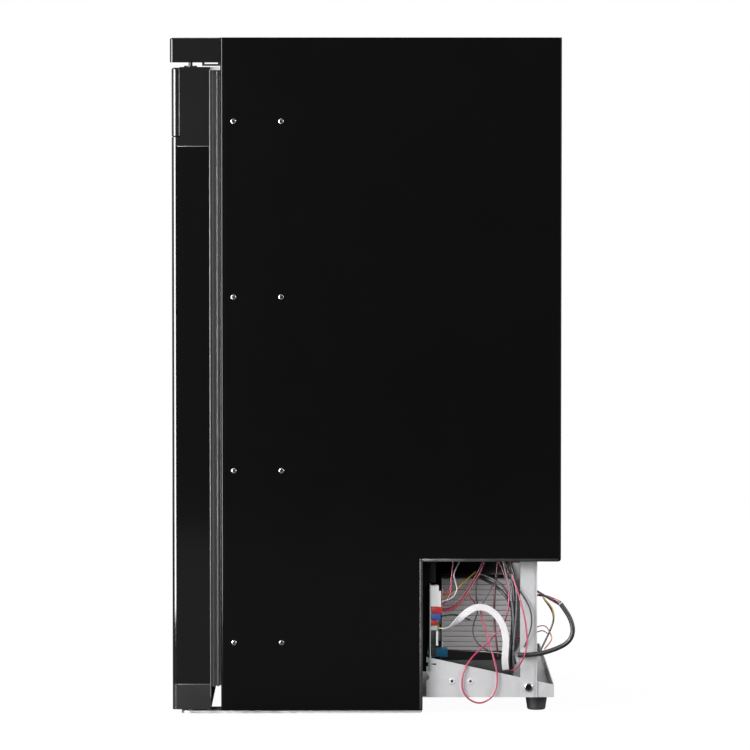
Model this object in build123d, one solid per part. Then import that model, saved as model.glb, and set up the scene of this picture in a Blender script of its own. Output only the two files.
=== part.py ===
from build123d import *
import math
import os

# Single-door refrigerated glass door merchandiser, millimetres, +Z up.
# Origin: bottom centre of the cabinet. -Y is the front (door), +X is the hinge side.

# ---------- driving dimensions ----------
width = 610.0                # over the side panels
height = 1013.0              # floor to top panel
cabinet_depth = 510.0        # front frame to back edge of the side panels
header_depth = 75.0          # canopy in front of the cabinet
header_height = 37.25
fit = 0.3                    # clearance between assembled pieces

panel_t = 1.0                # outer sheet steel
panel_lift = 4.5             # lower edge of the side panels above the floor
edge_r = 3.0                 # outside radius of a folded panel edge
corner_r = 4.0               # corner of the side panel's cut-out
front_return = 35.0          # front frame, folded from the side panels
side_return = 14.0           # rear and cut-out returns
top_flange_h = 45.0
pan_flange_h = 44.0
pan_wall_h = 18.0
compartment_depth = 207.5
compartment_top = 228.5

wall_side = 48.0             # insulated walls
wall_top = 53.0
wall_floor = 50.0
wall_back = 45.0
liner_t = 1.5

screw_head_d = 8.0
screw_head_h = 2.0
screw_shank_d = 4.0
screw_length = 10.0
screw_column_1 = 19.5        # behind the front frame
screw_column_2 = 90.75
screw_heights = (106.5, 365.25, 625.5, 888.0)

header_t = 1.5
header_r = 4.0
display_w, display_h, display_t = 110.0, 25.0, 8.0
display_recess = 1.5
button_d, button_travel, button_pitch = 9.0, 0.8, 15.0

door_reveal = 2.0            # each side of the door, inside the cabinet's width
door_setback = 2.25          # door front behind the header front
door_floor_gap = 6.0
door_head_gap = 6.75
gasket_depth = 15.0
gasket_w = 16.0
gasket_inset = 18.0          # door edge to gasket
stile_w = 55.0
stile_wall = 2.5
front_lip = 3.0
glass_cover = 10.0           # how far the frame covers the glass
door_front_r = 6.0
top_rail_h = 118.5
bottom_rail_h = 38.25
fascia_t = 12.0
fascia_h = 104.25
outer_glass_t, inner_glass_t, spacer_t, spacer_w = 4.0, 4.0, 12.0, 10.0
grip_length, grip_w, grip_depth = 300.0, 26.0, 15.0
grip_height = 500.0

hinge_inset = 17.0           # hinge axis from the cabinet side
hinge_setback = 30.5         # hinge axis behind the header front
pin_d = 6.0
pin_clearance = 0.1
bush_d, bush_flange_d, bush_depth = 14.0, 19.5, 20.0
bush_lift = 2.0              # flange of the upper bush above the door
hinge_plate_t, hinge_plate_w = 3.0, 38.0
floor_plate_t, floor_plate_w = 4.0, 53.0
floor_plate_reach = 114.0    # under the cabinet

standard_w, standard_d, standard_t = 18.0, 6.0, 1.2
slot_pitch, slot_h, slot_w = 25.0, 12.0, 4.0
slot_start = 25.0            # first slot above the cabinet floor
shelf_heights = {"wire_shelf_lower": 325.0, "wire_shelf_middle": 500.0, "wire_shelf_upper": 675.0}
frame_wire_d, deck_wire_d, deck_pitch = 6.0, 3.2, 24.0
shelf_front_gap = 32.0       # door plane to shelf
shelf_back_gap = 10.0
light_w, light_d = 14.0, 16.0
light_end, light_wall, light_seat = 30.0, 3.0, 5.0

evaporator_w, evaporator_h, evaporator_depth = 470.0, 88.0, 190.0
evaporator_t = 2.0
coil_margin, coil_back, coil_depth, coil_top = 30.0, 8.0, 54.0, 12.0
cold_fan_rise, cold_motor_d, cold_motor_l, cold_motor_gap = 14.0, 44.0, 34.0, 8.0
cold_fan_d = 110.0

tray_t = 1.2
tray_inset = 19.0            # tray flange to the cabinet's side
tray_ground = 22.0           # tray underside above the floor
tray_back_inset = 9.5        # behind the tray to the cabinet's back
tray_front_h = 38.0
flange_setback = 7.0         # side flange behind the tray's front edge
flange_front_h, flange_back_h = 61.0, 19.0
flange_hole_d, tie_slot_rise = 9.0, 9.0
rivet_bore, rivet_rim_d, rivet_rim_h = 4.0, 9.0, 0.6
rivet_setback, rivet_pitch, rivet_rise = 45.5, 28.0, 24.0
post_t, post_w, post_foot = 1.5, 25.5, 26.0
post_inset = 25.5            # post to the tray's back edge
post_bead_w, post_bead_inset, post_bead_depth = 1.2, 2.5, 1.1
foot_top_d, foot_bottom_d, foot_inset, foot_setback = 33.0, 27.0, 36.0, 9.0
bolt_head_d, bolt_head_h, bolt_d, bolt_length = 13.0, 2.5, 6.0, 9.0
bolt_rise = 15.0             # tray bolts above the tray's underside

board_w, board_h, board_t = 149.0, 129.0, 1.6
board_gap = 12.3             # board to bulkhead
board_bottom = 63.0
board_proud = 2.0            # the board stands through a slot in the tray flange
board_hole_inset, board_edge = 24.0, 5.0
carrier_t, carrier_rim, carrier_gap = 2.0, 4.0, 3.0
hood_depth = 12.0            # carrier's hood over the board's top edge

fan_d, fan_clearance, fan_depth = 98.0, 4.0, 16.0
condenser_w, condenser_h, condenser_t = 108.0, 116.0, 16.0
condenser_bottom = 70.0
condenser_x = 104.0          # far face
condenser_setback = 87.0     # centre, behind the tray's front edge
header_tube_d, shroud_t, shroud_depth, shroud_foot = 12.0, 1.5, 28.0, 26.0
fan_gap, fan_motor_d, fan_motor_l = 4.0, 52.0, 46.0
pan_gap, pan_front, pan_back, pan_h, pan_t = 15.0, 28.0, 9.5, 52.8, 2.0
tube_pitch, tube_h = 8.0, 2.4
shell_d, shell_h, shell_bottom = 150.0, 165.0, 36.0
shell_top_r, shell_bottom_r, shell_seam, seam_proud = 42.0, 30.0, 0.48, 2.5
compressor_x, compressor_setback = -118.0, 86.0
mount_d, mount_span_x, mount_span_y = 26.0, 150.0, 100.0
foot_plate_t, foot_plate_rim = 3.0, 17.0
terminal_w, terminal_h, terminal_reach, terminal_rise = 52.0, 56.0, 24.0, 0.62
pipe_d, capillary_d, suction_d, drier_d = 6.35, 3.2, 9.5, 19.0
pipe_bend, capillary_bend, suction_bend = 10.0, 14.0, 12.0
pipe_inset = 24.0            # rear run of the pipes to the tray's back edge
discharge_rise, suction_rise, pipe_offset = 114.0, 74.0, 40.0
pipe_drop = 17.8             # highest pipe below the ceiling
drier_start, drier_end, drier_rise = -60.0, 20.0, 34.0
suction_inset, capillary_inset = 24.0, 56.0

# ---------- reference planes ----------
half_w = width / 2
front = -(cabinet_depth + header_depth) / 2
cabinet_front = front + header_depth
back = cabinet_front + cabinet_depth
header_bottom = height - header_height
notch_y = back - compartment_depth
skin = half_w - panel_t                         # inner face of a side panel
bulkhead_back = notch_y - panel_t - fit         # compartment face of the bulkhead wall
ceiling = compartment_top + panel_t + fit       # compartment face of its ceiling
back_panel_back = back - panel_t - fit

cavity_x = half_w - wall_side
cavity_top = height - wall_top
cavity_bottom = wall_floor
cavity_back = back - wall_back
step_y = notch_y - wall_back                    # lower well is shallower
step_z = compartment_top + wall_back

door_x = half_w - door_reveal
door_front = front + door_setback
door_back = cabinet_front - gasket_depth
door_bottom = door_floor_gap
door_top = header_bottom - door_head_gap
stile_bottom = door_bottom + bottom_rail_h
stile_top = door_top - top_rail_h
sight_x = door_x - stile_w
glass_x = sight_x + glass_cover - fit
glass_bottom = stile_bottom - glass_cover + fit
glass_top = stile_top + glass_cover - fit
glass_front = door_front + front_lip + fit
pack_t = outer_glass_t + spacer_t + inner_glass_t
glass_back = glass_front + pack_t
hinge_x = half_w - hinge_inset
hinge_y = front + hinge_setback

tray_half_w = half_w - tray_inset
tray_front = bulkhead_back + fit
tray_back = back - tray_back_inset
tray_floor = tray_ground + tray_t
post_face = tray_half_w + fit + post_t
post_front = tray_back - post_inset - post_w
post_mid = post_front + post_w / 2
foot_x = half_w - foot_inset - foot_top_d / 2
foot_y = tray_back - foot_top_d / 2 - foot_setback
rivet_z = tray_ground + rivet_rise
rivet_rows = (tray_front + rivet_setback, tray_front + rivet_setback + rivet_pitch)

board_x = tray_half_w + board_proud             # near edge of the board
board_front = bulkhead_back + board_gap
board_back = board_front + board_t
first_slot = cavity_bottom + slot_start
condenser_y = tray_front + condenser_setback
compressor_y = tray_front + compressor_setback
fan_z = condenser_bottom + condenser_h / 2
condenser_top = condenser_bottom + condenser_h
shroud_x = condenser_x - fit

side_screws = [(y, z) for y in (cabinet_front + screw_column_1, cabinet_front + screw_column_2)
               for z in screw_heights]


# ---------- helpers ----------
def block(x, y, z):
    """A box from its three (low, high) ranges."""
    size = [b - a for a, b in (x, y, z)]
    mid = [(a + b) / 2 for a, b in (x, y, z)]
    return Pos(*mid) * Box(*size)


def rod(start, end, diameter):
    """A straight round bar between two points."""
    line = Vector(*end) - Vector(*start)
    plane = Plane(origin=start, z_dir=line.normalized())
    return extrude(plane * Circle(diameter / 2), line.length)


def ring(start, end, outer_d, inner_d):
    return rod(start, end, outer_d) - rod(start, end, inner_d)


def both_sides(solid):
    """A piece and its mirror image across the middle of the cabinet."""
    return [solid, mirror(solid, about=Plane.YZ)]


def side_plate(points, x0, x1):
    """A plate drawn in (Y, Z) and given its thickness along X."""
    face = make_face(Polyline(*[(y, z) for y, z in points], close=True))
    return extrude(Plane.YZ.offset(x0) * face, x1 - x0)


def save(name, shapes):
    """Write one node: a single piece or a group of separate solids."""
    pieces = []
    for shape in (shapes if isinstance(shapes, (list, tuple)) else [shapes]):
        pieces += shape.solids()
    shape = pieces[0] if len(pieces) == 1 else Compound(children=pieces)
    shape.label = name
    export_step(shape, os.path.join("parts", name + ".step"))


# ---------- cabinet shell ----------
def panel_outline(inset, grow):
    """Side panel outline with its rear cut-out; grow runs past the open top and bottom edges."""
    y0, y1 = cabinet_front + inset, back - inset
    z0, z1 = panel_lift - grow, height + grow
    ny, nz = notch_y - inset, compartment_top + inset
    points = [(y0, z0), (ny, z0), (ny, nz), (y1, nz), (y1, z1), (y0, z1)]
    return points, (ny, nz), (y1, nz)


def rounded_outline(inset, grow, inner_r, outer_r, x0, x1):
    points, inner, outer = panel_outline(inset, grow)
    plate = side_plate(points, x0, x1)
    for (y, z), radius in ((inner, inner_r), (outer, outer_r)):
        corner = [e for e in plate.edges().filter_by(Axis.X)
                  if abs(e.center().Y - y) < 0.1 and abs(e.center().Z - z) < 0.1]
        plate = fillet(corner, radius)
    return plate


def folded_edges(plate, z_low, z_high):
    """Edges of the plate's outer face, apart from its open top and bottom."""
    face = plate.faces().filter_by(Axis.X).sort_by(Axis.X)[-1]
    return [e for e in face.edges() if z_low + 0.1 < e.center().Z < z_high - 0.1]


def side_panel():
    x_in = half_w - side_return
    outer = rounded_outline(0, 0, corner_r, corner_r, x_in, half_w)
    outer = fillet(folded_edges(outer, panel_lift, height), edge_r)
    overrun = 20.0
    inner = rounded_outline(panel_t, overrun, corner_r + panel_t, corner_r - panel_t, x_in - 1, skin)
    inner = fillet(folded_edges(inner, panel_lift - overrun, height + overrun), edge_r - panel_t)
    shell = outer - inner
    shell += block((half_w - front_return, x_in), (cabinet_front, cabinet_front + panel_t),
                   (panel_lift, height))
    shell -= block((0, skin - fit), (cabinet_front - 1, back + 1), (height - panel_t - fit, height + 1))
    for y, z in side_screws:
        shell -= rod((skin - 1, y, z), (half_w + 1, y, z), screw_shank_d + 0.3)
    return shell


def side_panel_screws():
    screw = rod((half_w - screw_length, 0, 0), (half_w, 0, 0), screw_shank_d)
    head = rod((half_w, 0, 0), (half_w + screw_head_h, 0, 0), screw_head_d)
    head = fillet(head.edges().sort_by(Axis.X)[-1], screw_head_h * 0.6)
    recess_x = half_w + screw_head_h * 0.4
    for size in ((1.2, 4.4), (4.4, 1.2)):
        head -= block((recess_x, half_w + screw_head_h + 1), (-size[0] / 2, size[0] / 2),
                      (-size[1] / 2, size[1] / 2))
    screw += head
    group = []
    for y, z in side_screws:
        group += both_sides(Pos(0, y, z) * screw)
    return group


def top_panel():
    x = skin - fit
    plate = block((-x, x), (cabinet_front, back), (height - panel_t, height))
    plate = fillet(plate.edges().filter_by(Axis.Z), edge_r)
    x_flange = half_w - front_return - fit
    plate += block((-x_flange, x_flange), (cabinet_front, cabinet_front + panel_t),
                   (height - top_flange_h, height - panel_t))
    return plate


def back_panel():
    x = half_w - edge_r - fit
    sheet = block((-x, x), (back_panel_back - panel_t, back_panel_back),
                  (ceiling + 2 * panel_t + fit, height - panel_t - fit))
    rib_x = x * 0.5
    for side in (-rib_x, rib_x):
        rib = block((side - 20, side + 20), (back_panel_back - panel_t, back_panel_back + 1.2),
                    (ceiling + 60, height - 60))
        rib = chamfer(rib.edges().filter_by(Axis.Z).sort_by(Axis.Y)[-2:], 1.1)
        sheet += rib
    return sheet


def floor_plate_outline(margin, z0, z1):
    """The lower hinge plate's envelope, used for the plate and for its pocket in the base."""
    x0 = half_w - door_reveal - floor_plate_w - margin
    x1 = half_w - door_reveal + margin
    y0 = hinge_y - bush_flange_d / 2 - 5 - margin
    y1 = cabinet_front + floor_plate_reach + margin
    return block((x0, x1), (y0, y1), (z0, z1))


def floor_pan():
    x = skin - fit - panel_t
    y1 = bulkhead_back - panel_t - fit
    wall_y = cabinet_front + edge_r + panel_t
    low_z = panel_lift - fit
    pan = block((-x, x), (cabinet_front, y1), (0, panel_t))
    pan += block((-x, x), (cabinet_front, cabinet_front + panel_t), (0, low_z))
    pan += block((-x, x), (y1 - panel_t, y1), (0, pan_wall_h))
    for side in (-x, x - panel_t):
        pan += block((side, side + panel_t), (cabinet_front, y1), (0, low_z))
        pan += block((side, side + panel_t), (wall_y, y1), (0, pan_wall_h))
    x_flange = half_w - front_return - fit
    pan += block((-x_flange, x_flange), (cabinet_front, cabinet_front + panel_t), (0, pan_flange_h))
    return pan - floor_plate_outline(fit, -1, floor_plate_t + fit)


def bulkhead():
    x = half_w - edge_r - fit
    wall = block((-x, x), (bulkhead_back - panel_t, bulkhead_back), (panel_t + 0.5, ceiling + panel_t))
    roof = block((-x, x), (bulkhead_back - panel_t, back - corner_r + panel_t), (ceiling, ceiling + panel_t))
    return wall + roof


def cavity(grow):
    """Inside of the insulated cabinet: full depth above, a shallower well below."""
    x = cavity_x + grow
    y0 = cabinet_front - 1
    upper = block((-x, x), (y0, cavity_back + grow), (step_z - grow, cavity_top + grow))
    lower = block((-x, x), (y0, step_y + grow), (cavity_bottom - grow, step_z))
    return upper + lower


def inner_liner():
    lip_x = half_w - front_return - fit
    lip_bottom = pan_flange_h + fit
    lip_top = height - top_flange_h - fit
    lip = block((-lip_x, lip_x), (cabinet_front, cabinet_front + liner_t), (lip_bottom, lip_top))
    trim = block((-half_w, half_w), (cabinet_front - 5, cabinet_front), (0, height))
    return (cavity(liner_t) - trim) + lip - cavity(0)


def foam_insulation():
    x = skin - fit - panel_t - panel_t - fit
    y0 = cabinet_front + liner_t
    upper = block((-x, x), (y0, back_panel_back - panel_t), (ceiling + panel_t, height - panel_t))
    lower = block((-x, x), (y0, bulkhead_back - 2 * panel_t - fit), (panel_t, ceiling + panel_t + 1))
    body = upper + lower
    body -= cavity(liner_t)
    body -= floor_plate_outline(fit, 0, floor_plate_t + fit)
    for y, z in side_screws:
        hole = rod((half_w - screw_length - 1, y, z), (half_w, y, z), screw_shank_d + 1)
        for piece in both_sides(hole):
            body -= piece
    return bolt_holes(body)


def header_cover():
    cover = block((-half_w, half_w), (front, cabinet_front), (header_bottom, height))
    inner = block((-half_w + header_t, half_w - header_t), (front + header_t, cabinet_front + 1),
                  (header_bottom + header_t, height - header_t))
    cover = fillet(cover.edges().filter_by(Axis.Z).sort_by(Axis.Y)[:2], header_r)
    cover = fillet([e for e in cover.faces().sort_by(Axis.Z)[-1].edges() if e.center().Y < cabinet_front - 1],
                   edge_r)
    inner = fillet(inner.edges().filter_by(Axis.Z).sort_by(Axis.Y)[:2], header_r - header_t)
    cover -= inner
    cover -= block((hinge_x - hinge_plate_w / 2 - fit, half_w - header_t),
                   (hinge_y - bush_flange_d, cabinet_front + 1), (header_bottom - 1, header_bottom + header_t))
    cover -= display_body(fit, front - 1)
    return cover


def display_body(margin, y0):
    z = (header_bottom + height) / 2
    return block((-display_w / 2 - margin, display_w / 2 + margin), (y0, front + display_recess + display_t),
                 (z - display_h / 2 - margin, z + display_h / 2 + margin))


def button_places():
    z = (header_bottom + height) / 2
    return {"button_down": (-display_w / 2 + 10, z), "button_up": (-display_w / 2 + 10 + button_pitch, z),
            "button_light": (display_w / 2 - 10, z)}


def display_panel():
    panel = display_body(0, front + display_recess)
    panel = fillet(panel.edges().filter_by(Axis.Z).sort_by(Axis.Y)[:2], 1)
    for x, z in button_places().values():
        panel -= rod((x, front, z), (x, front + display_recess + display_t - panel_t, z), button_d + 0.6)
    return panel


def button(place):
    x, z = place
    y0 = front + 0.1
    y1 = front + display_recess + display_t - panel_t - button_travel - 0.1
    cap = rod((x, y0, z), (x, y1, z), button_d)
    return fillet(cap.edges().sort_by(Axis.Y)[0], 1.0)


# ---------- hinges ----------
def top_hinge_bracket():
    t = hinge_plate_t
    low = door_top + 1.5
    arm_z = header_bottom + header_t + fit
    y_wall = cabinet_front - fit
    y_fold = cabinet_front - 27.0
    y_tip = hinge_y - bush_flange_d / 2 - 4
    x = (hinge_x - hinge_plate_w / 2, hinge_x + 12)
    plate = block(x, (y_wall - t, y_wall), (low, height - 10))
    plate += block(x, (y_fold, y_wall), (low, low + t))
    plate += block(x, (y_fold, y_fold + t), (low, arm_z + t))
    plate += block(x, (y_tip, y_fold + t), (arm_z, arm_z + t))
    corners = [e for e in plate.edges().filter_by(Axis.Z) if e.center().Y < y_tip + 0.1]
    plate = fillet(corners, 8)
    return plate + rod((hinge_x, hinge_y, arm_z + 0.5), (hinge_x, hinge_y, door_top - bush_depth + 4), pin_d)


def bottom_hinge_bracket():
    plate = floor_plate_outline(0, 0, floor_plate_t)
    plate = fillet(plate.edges().filter_by(Axis.Z).sort_by(Axis.Y)[:2], 10)
    return plate + rod((hinge_x, hinge_y, floor_plate_t - 0.5), (hinge_x, hinge_y, door_bottom + bush_depth - 4), pin_d)


def bush_places():
    """(body start, body end, flange end) heights of the two door bushes."""
    return ((door_top - bush_depth, door_top, door_top + bush_lift),
            (door_bottom + bush_depth, door_bottom, floor_plate_t + fit))



def hinge_bushes():
    group = []
    for deep, face, outer in bush_places():
        bush = rod((hinge_x, hinge_y, deep), (hinge_x, hinge_y, face), bush_d)
        bush += rod((hinge_x, hinge_y, face), (hinge_x, hinge_y, outer), bush_flange_d)
        bush -= rod((hinge_x, hinge_y, deep - 50), (hinge_x, hinge_y, deep + 50), pin_d + 2 * pin_clearance)
        group.append(bush)
    return group


def bolt(start, direction):
    """A low round-headed socket bolt; start is where the head seats, direction points out of the head."""
    plane = Plane(origin=start, z_dir=direction)
    shank = extrude(plane * Circle(bolt_d / 2), -bolt_length)
    head = extrude(plane * Circle(bolt_head_d / 2), bolt_head_h)
    socket = extrude(plane.offset(0.6) * RegularPolygon(3.0, 6), bolt_head_h)
    return shank + head - socket


def bolt_places():
    z = tray_ground + bolt_rise
    places = [((post_face, post_mid, z), (1, 0, 0)), ((-post_face, post_mid, z), (-1, 0, 0))]
    y = cabinet_front - fit - hinge_plate_t
    for x in (hinge_x - 10, hinge_x + 4):
        places.append(((x, y, height - 22), (0, -1, 0)))
    return places


def frame_bolts():
    return [bolt(start, direction) for start, direction in bolt_places()]


def bolt_holes(solid):
    for start, direction in bolt_places():
        plane = Plane(origin=start, z_dir=direction)
        solid -= extrude(plane.offset(2) * Circle(bolt_d / 2 + fit), -13)
    return solid


# ---------- door ----------
def stile(side):
    """Hollow upright of the door frame with its glazing pocket; side is 1 for the hinge side."""
    outer = block((sight_x, door_x), (door_front, door_back), (stile_bottom, stile_top))
    edge = outer.edges().filter_by(Axis.Z).filter_by(lambda e: e.center().X > door_x - 1 and e.center().Y < 0)
    outer = fillet(edge.sort_by(Axis.Y)[0], door_front_r)
    outer -= block((sight_x - 1, sight_x + glass_cover), (glass_front - fit, glass_back + fit),
                   (stile_bottom - 1, stile_top + 1))
    outer -= block((sight_x + glass_cover + stile_wall, door_x - stile_wall),
                   (door_front + front_lip, door_back - stile_wall), (stile_bottom - 1, stile_top + 1))
    if side < 0:
        y = (door_front + door_back) / 2
        x0 = door_x - grip_depth
        z0, z1 = grip_height - grip_length / 2, grip_height + grip_length / 2
        wall = stile_wall
        outer += block((x0 - wall, door_x - 1), (y - grip_w / 2 - wall, y + grip_w / 2 + wall),
                       (z0 - wall, z1 + wall))
        recess = block((x0, door_x + 1), (y - grip_w / 2, y + grip_w / 2), (z0, z1))
        recess = fillet(recess.edges().filter_by(Axis.X), 8)
        outer -= recess
        return mirror(outer, about=Plane.YZ)
    return outer


def glazing_slot():
    return block((-glass_x - fit, glass_x + fit), (glass_front - fit, glass_back + fit),
                 (glass_bottom - fit, glass_top + fit))


def bush_bores():
    bores = []
    for deep, face, outer in bush_places():
        bores.append(rod((hinge_x, hinge_y, deep), (hinge_x, hinge_y, face + (face - deep) * 0.1), bush_d))
        bores.append(rod((hinge_x, hinge_y, deep - 12), (hinge_x, hinge_y, deep + 12), pin_d + 2))
    return bores


def door_top_rail():
    rail = block((-door_x, door_x), (door_front, door_back), (stile_top, door_top))
    rail = fillet(rail.edges().filter_by(Axis.Z).sort_by(Axis.Y)[:2], door_front_r)
    rail -= block((-door_x - 1, door_x + 1), (door_front - 1, door_front + fascia_t + fit),
                  (door_top - fascia_h - fit, door_top + 1))
    cover_z = glass_top + fit + stile_wall
    hollow = block((-sight_x, sight_x), (door_front + fascia_t + fit + stile_wall, door_back - stile_wall),
                   (cover_z, door_top - stile_wall))
    rail -= hollow
    rail -= glazing_slot()
    for bore in bush_bores():
        rail -= bore
    return rail


def door_top_fascia():
    """Blank front cover of the top rail, with a shallow sunk field."""
    z0 = door_top - fascia_h
    cover = block((-door_x, door_x), (door_front, door_front + fascia_t), (z0, door_top - 1))
    cover = fillet(cover.edges().filter_by(Axis.Z).sort_by(Axis.Y)[:2], door_front_r)
    cover = fillet(cover.faces().sort_by(Axis.Y)[0].edges().filter_by(Axis.X), 2.5)
    field = block((-door_x + 30, door_x - 30), (door_front - 1, door_front + 0.8), (z0 + 14, door_top - 15))
    field = fillet(field.edges().filter_by(Axis.Y), 6)
    hollow = block((-door_x + 4, door_x - 4), (door_front + 3.5, door_front + fascia_t + 1), (z0 + 4, door_top - 5))
    return cover - field - hollow


def door_bottom_rail():
    rail = block((-door_x, door_x), (door_front, door_back), (door_bottom, stile_bottom))
    rail = fillet(rail.edges().filter_by(Axis.Z).sort_by(Axis.Y)[:2], door_front_r)
    hollow = block((-sight_x, sight_x), (door_front + front_lip, door_back - stile_wall),
                   (door_bottom + stile_wall, glass_bottom - fit - stile_wall))
    rail -= hollow
    rail -= glazing_slot()
    for bore in bush_bores():
        rail -= bore
    return rail


def pane(y0, thickness):
    sheet = block((-glass_x, glass_x), (y0, y0 + thickness), (glass_bottom, glass_top))
    return fillet(sheet.edges().filter_by(Axis.Y), 2)


def glass_spacer():
    y = (glass_front + outer_glass_t, glass_front + outer_glass_t + spacer_t)
    bar = block((-glass_x, glass_x), y, (glass_bottom, glass_top))
    w = spacer_w
    return bar - block((-glass_x + w, glass_x - w), (y[0] - 1, y[1] + 1), (glass_bottom + w, glass_top - w))


def door_gasket():
    """Magnetic gasket: a flat foot on the door and a softer bellows towards the cabinet."""
    x = door_x - gasket_inset
    z0, z1 = door_bottom + gasket_inset + 14, door_top - gasket_inset + 13

    def frame(inset, wide, y0, y1):
        outer = block((-x + inset, x - inset), (y0, y1), (z0 + inset, z1 - inset))
        hole = block((-x + inset + wide, x - inset - wide), (y0 - 1, y1 + 1),
                     (z0 + inset + wide, z1 - inset - wide))
        return outer - hole
    foot = frame(0, gasket_w, door_back, door_back + 4)
    neck = frame(2, gasket_w - 4, door_back + 3, door_back + 8)
    magnet = frame(0.5, gasket_w - 2, door_back + 7, cabinet_front - fit)
    return foot + neck + magnet


# ---------- inside ----------
def standard_positions():
    x = cavity_x
    return ((cabinet_front + screw_column_2, cavity_bottom + 20), (cavity_back - 40, step_z + 8))


def shelf_standards():
    group = []
    z1 = cavity_top - evaporator_h - 22
    for y, z0 in standard_positions():
        rail = block((cavity_x - standard_d, cavity_x), (y - standard_w / 2, y + standard_w / 2), (z0, z1))
        rail -= block((cavity_x - standard_d + standard_t, cavity_x + 1),
                      (y - standard_w / 2 + standard_t, y + standard_w / 2 - standard_t), (z0 - 1, z1 + 1))
        z = first_slot
        while z < z1 - slot_h:
            if z > z0 + 4:
                rail -= block((cavity_x - standard_d - 1, cavity_x - standard_d + standard_t + 0.5),
                              (y - slot_w / 2, y + slot_w / 2), (z, z + slot_h))
            z += slot_pitch
        group += both_sides(rail)
    return group



def clip_seat(level):
    """Height of the slot that carries a shelf standing at this level."""
    steps = math.floor((level - frame_wire_d - 4 - first_slot) / slot_pitch)
    return first_slot + steps * slot_pitch


def shelf_level(level):
    return clip_seat(level) + slot_h + frame_wire_d / 2 + fit


def shelf_clips():
    x1 = cavity_x - standard_d
    group = []
    for level in shelf_heights.values():
        z = clip_seat(level)
        for y, _ in standard_positions():
            tongue = block((x1 - 1, x1 + standard_t + 2), (y - slot_w / 2 + fit, y + slot_w / 2 - fit),
                           (z + fit, z + slot_h - 2))
            face = block((x1 - 2.0 - fit, x1 - fit), (y - 6, y + 6), (z - 6, z + slot_h))
            ledge = block((x1 - 14, x1 - fit), (y - 6, y + 6), (z + slot_h - 2, z + slot_h))
            group += both_sides(tongue + face + ledge)
    return group


def wire_shelf(level):
    z = shelf_level(level)
    x = cavity_x - standard_d - 4 - frame_wire_d / 2
    y0 = cabinet_front + shelf_front_gap
    y1 = cavity_back - shelf_back_gap
    deck_z = z + (frame_wire_d + deck_wire_d) / 2 - 0.6
    rim = FilletPolyline((x, y0, z), (x, y1, z), (-x, y1, z), (-x, y0, z), radius=12, close=True)
    bars = [sweep((rim ^ 0) * Circle(frame_wire_d / 2), path=rim)]
    bars.append(rod((-x, (y0 + y1) / 2, z), (x, (y0 + y1) / 2, z), frame_wire_d * 0.85))
    lip_y, lip_z = y0 - 6, z + 22
    bars += [rod((-x, lip_y + 3, lip_z - 2), (x, lip_y + 3, lip_z - 2), frame_wire_d * 0.8)]
    count = int(2 * (x - 8) / deck_pitch)
    pitch = 2 * (x - 8) / count
    for i in range(count + 1):
        xi = -x + 8 + i * pitch
        bars.append(pipe([(xi, y1 + 2, deck_z), (xi, lip_y, deck_z), (xi, lip_y, lip_z)], deck_wire_d, 6))
    shelf = bars[0]
    return shelf.fuse(*bars[1:])


def light_housings():
    y = cabinet_front + screw_column_1
    z0, z1 = cavity_bottom + light_end, cavity_top - light_end
    bar = block((cavity_x - light_d, cavity_x), (y - light_w / 2, y + light_w / 2), (z0, z1))
    return both_sides(bar - light_channel())


def light_channel():
    """The diffuser's seat, cut along the housing's inner face."""
    y = cabinet_front + screw_column_1
    half = light_w / 2 - light_wall
    end = light_end + light_wall
    return block((cavity_x - light_d - 1, cavity_x - light_seat), (y - half, y + half),
                 (cavity_bottom + end, cavity_top - end))


def light_lenses():
    lens = light_channel()
    lens = fillet(lens.edges().filter_by(Axis.Z).sort_by(Axis.X)[:2], 3.5)
    return both_sides(lens)


def evaporator_box():
    z0 = cavity_top - evaporator_h
    y0 = cavity_back - evaporator_depth
    return z0, y0, evaporator_w / 2


def cold_fan_centre():
    z0, y0, x = evaporator_box()
    return 0.0, y0 + 15 + cold_fan_d / 2, z0


def evaporator_cover():
    z0, y0, x = evaporator_box()
    t = evaporator_t
    cover = block((-x, x), (y0, cavity_back - fit), (z0, cavity_top - fit))
    cover = fillet([e for e in cover.edges().filter_by(Axis.X) if e.center().Y < y0 + 1
                    and e.center().Z < z0 + 1], 10)
    cover -= block((-x + t, x - t), (y0 + t, cavity_back), (z0 + t, cavity_top))
    fx, fy, fz = cold_fan_centre()
    cover -= rod((fx, fy, fz - 1), (fx, fy, fz + t + 1), cold_fan_d + 8)
    for i in range(5):
        z = z0 + 22 + i * 12
        cover -= block((-x + 40, x - 40), (y0 - 1, y0 + t + 1), (z, z + 5))
    guard_z = fz + 1
    for d in (cold_fan_d * 0.3, cold_fan_d * 0.55, cold_fan_d * 0.8):
        cover += ring((fx, fy, guard_z - 1), (fx, fy, guard_z + 1), d + 4, d)
    for turn in (0, 60, 120):
        bar = Pos(fx, fy, guard_z) * Rot(0, 0, turn) * Box(cold_fan_d + 10, 3, 2)
        cover += bar
    return cover


def evaporator_coil():
    z0, y0, x = evaporator_box()
    half = x - coil_margin
    y = (cavity_back - coil_back - coil_depth, cavity_back - coil_back)
    z = (z0 + evaporator_t, cavity_top - coil_top)
    coil = block((-half, half), y, (z[0] + 6, z[1]))
    for side in (-half - 2, half):
        coil += block((side, side + 2), y, z)
    rows = [(y[0] + 14, y[0] + 40), (z[0] + 20, z[0] + 40, z[0] + 60)]
    for zc in rows[1]:
        for side in (-1, 1):
            start, end = (side * half, rows[0][0], zc), (side * half, rows[0][1], zc)
            out = side * (half + 12)
            coil += rod(start, (out, rows[0][0], zc), 8)
            coil += rod(end, (out, rows[0][1], zc), 8)
            coil += rod((out, rows[0][0] - 4, zc), (out, rows[0][1] + 4, zc), 8)
    return coil


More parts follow.
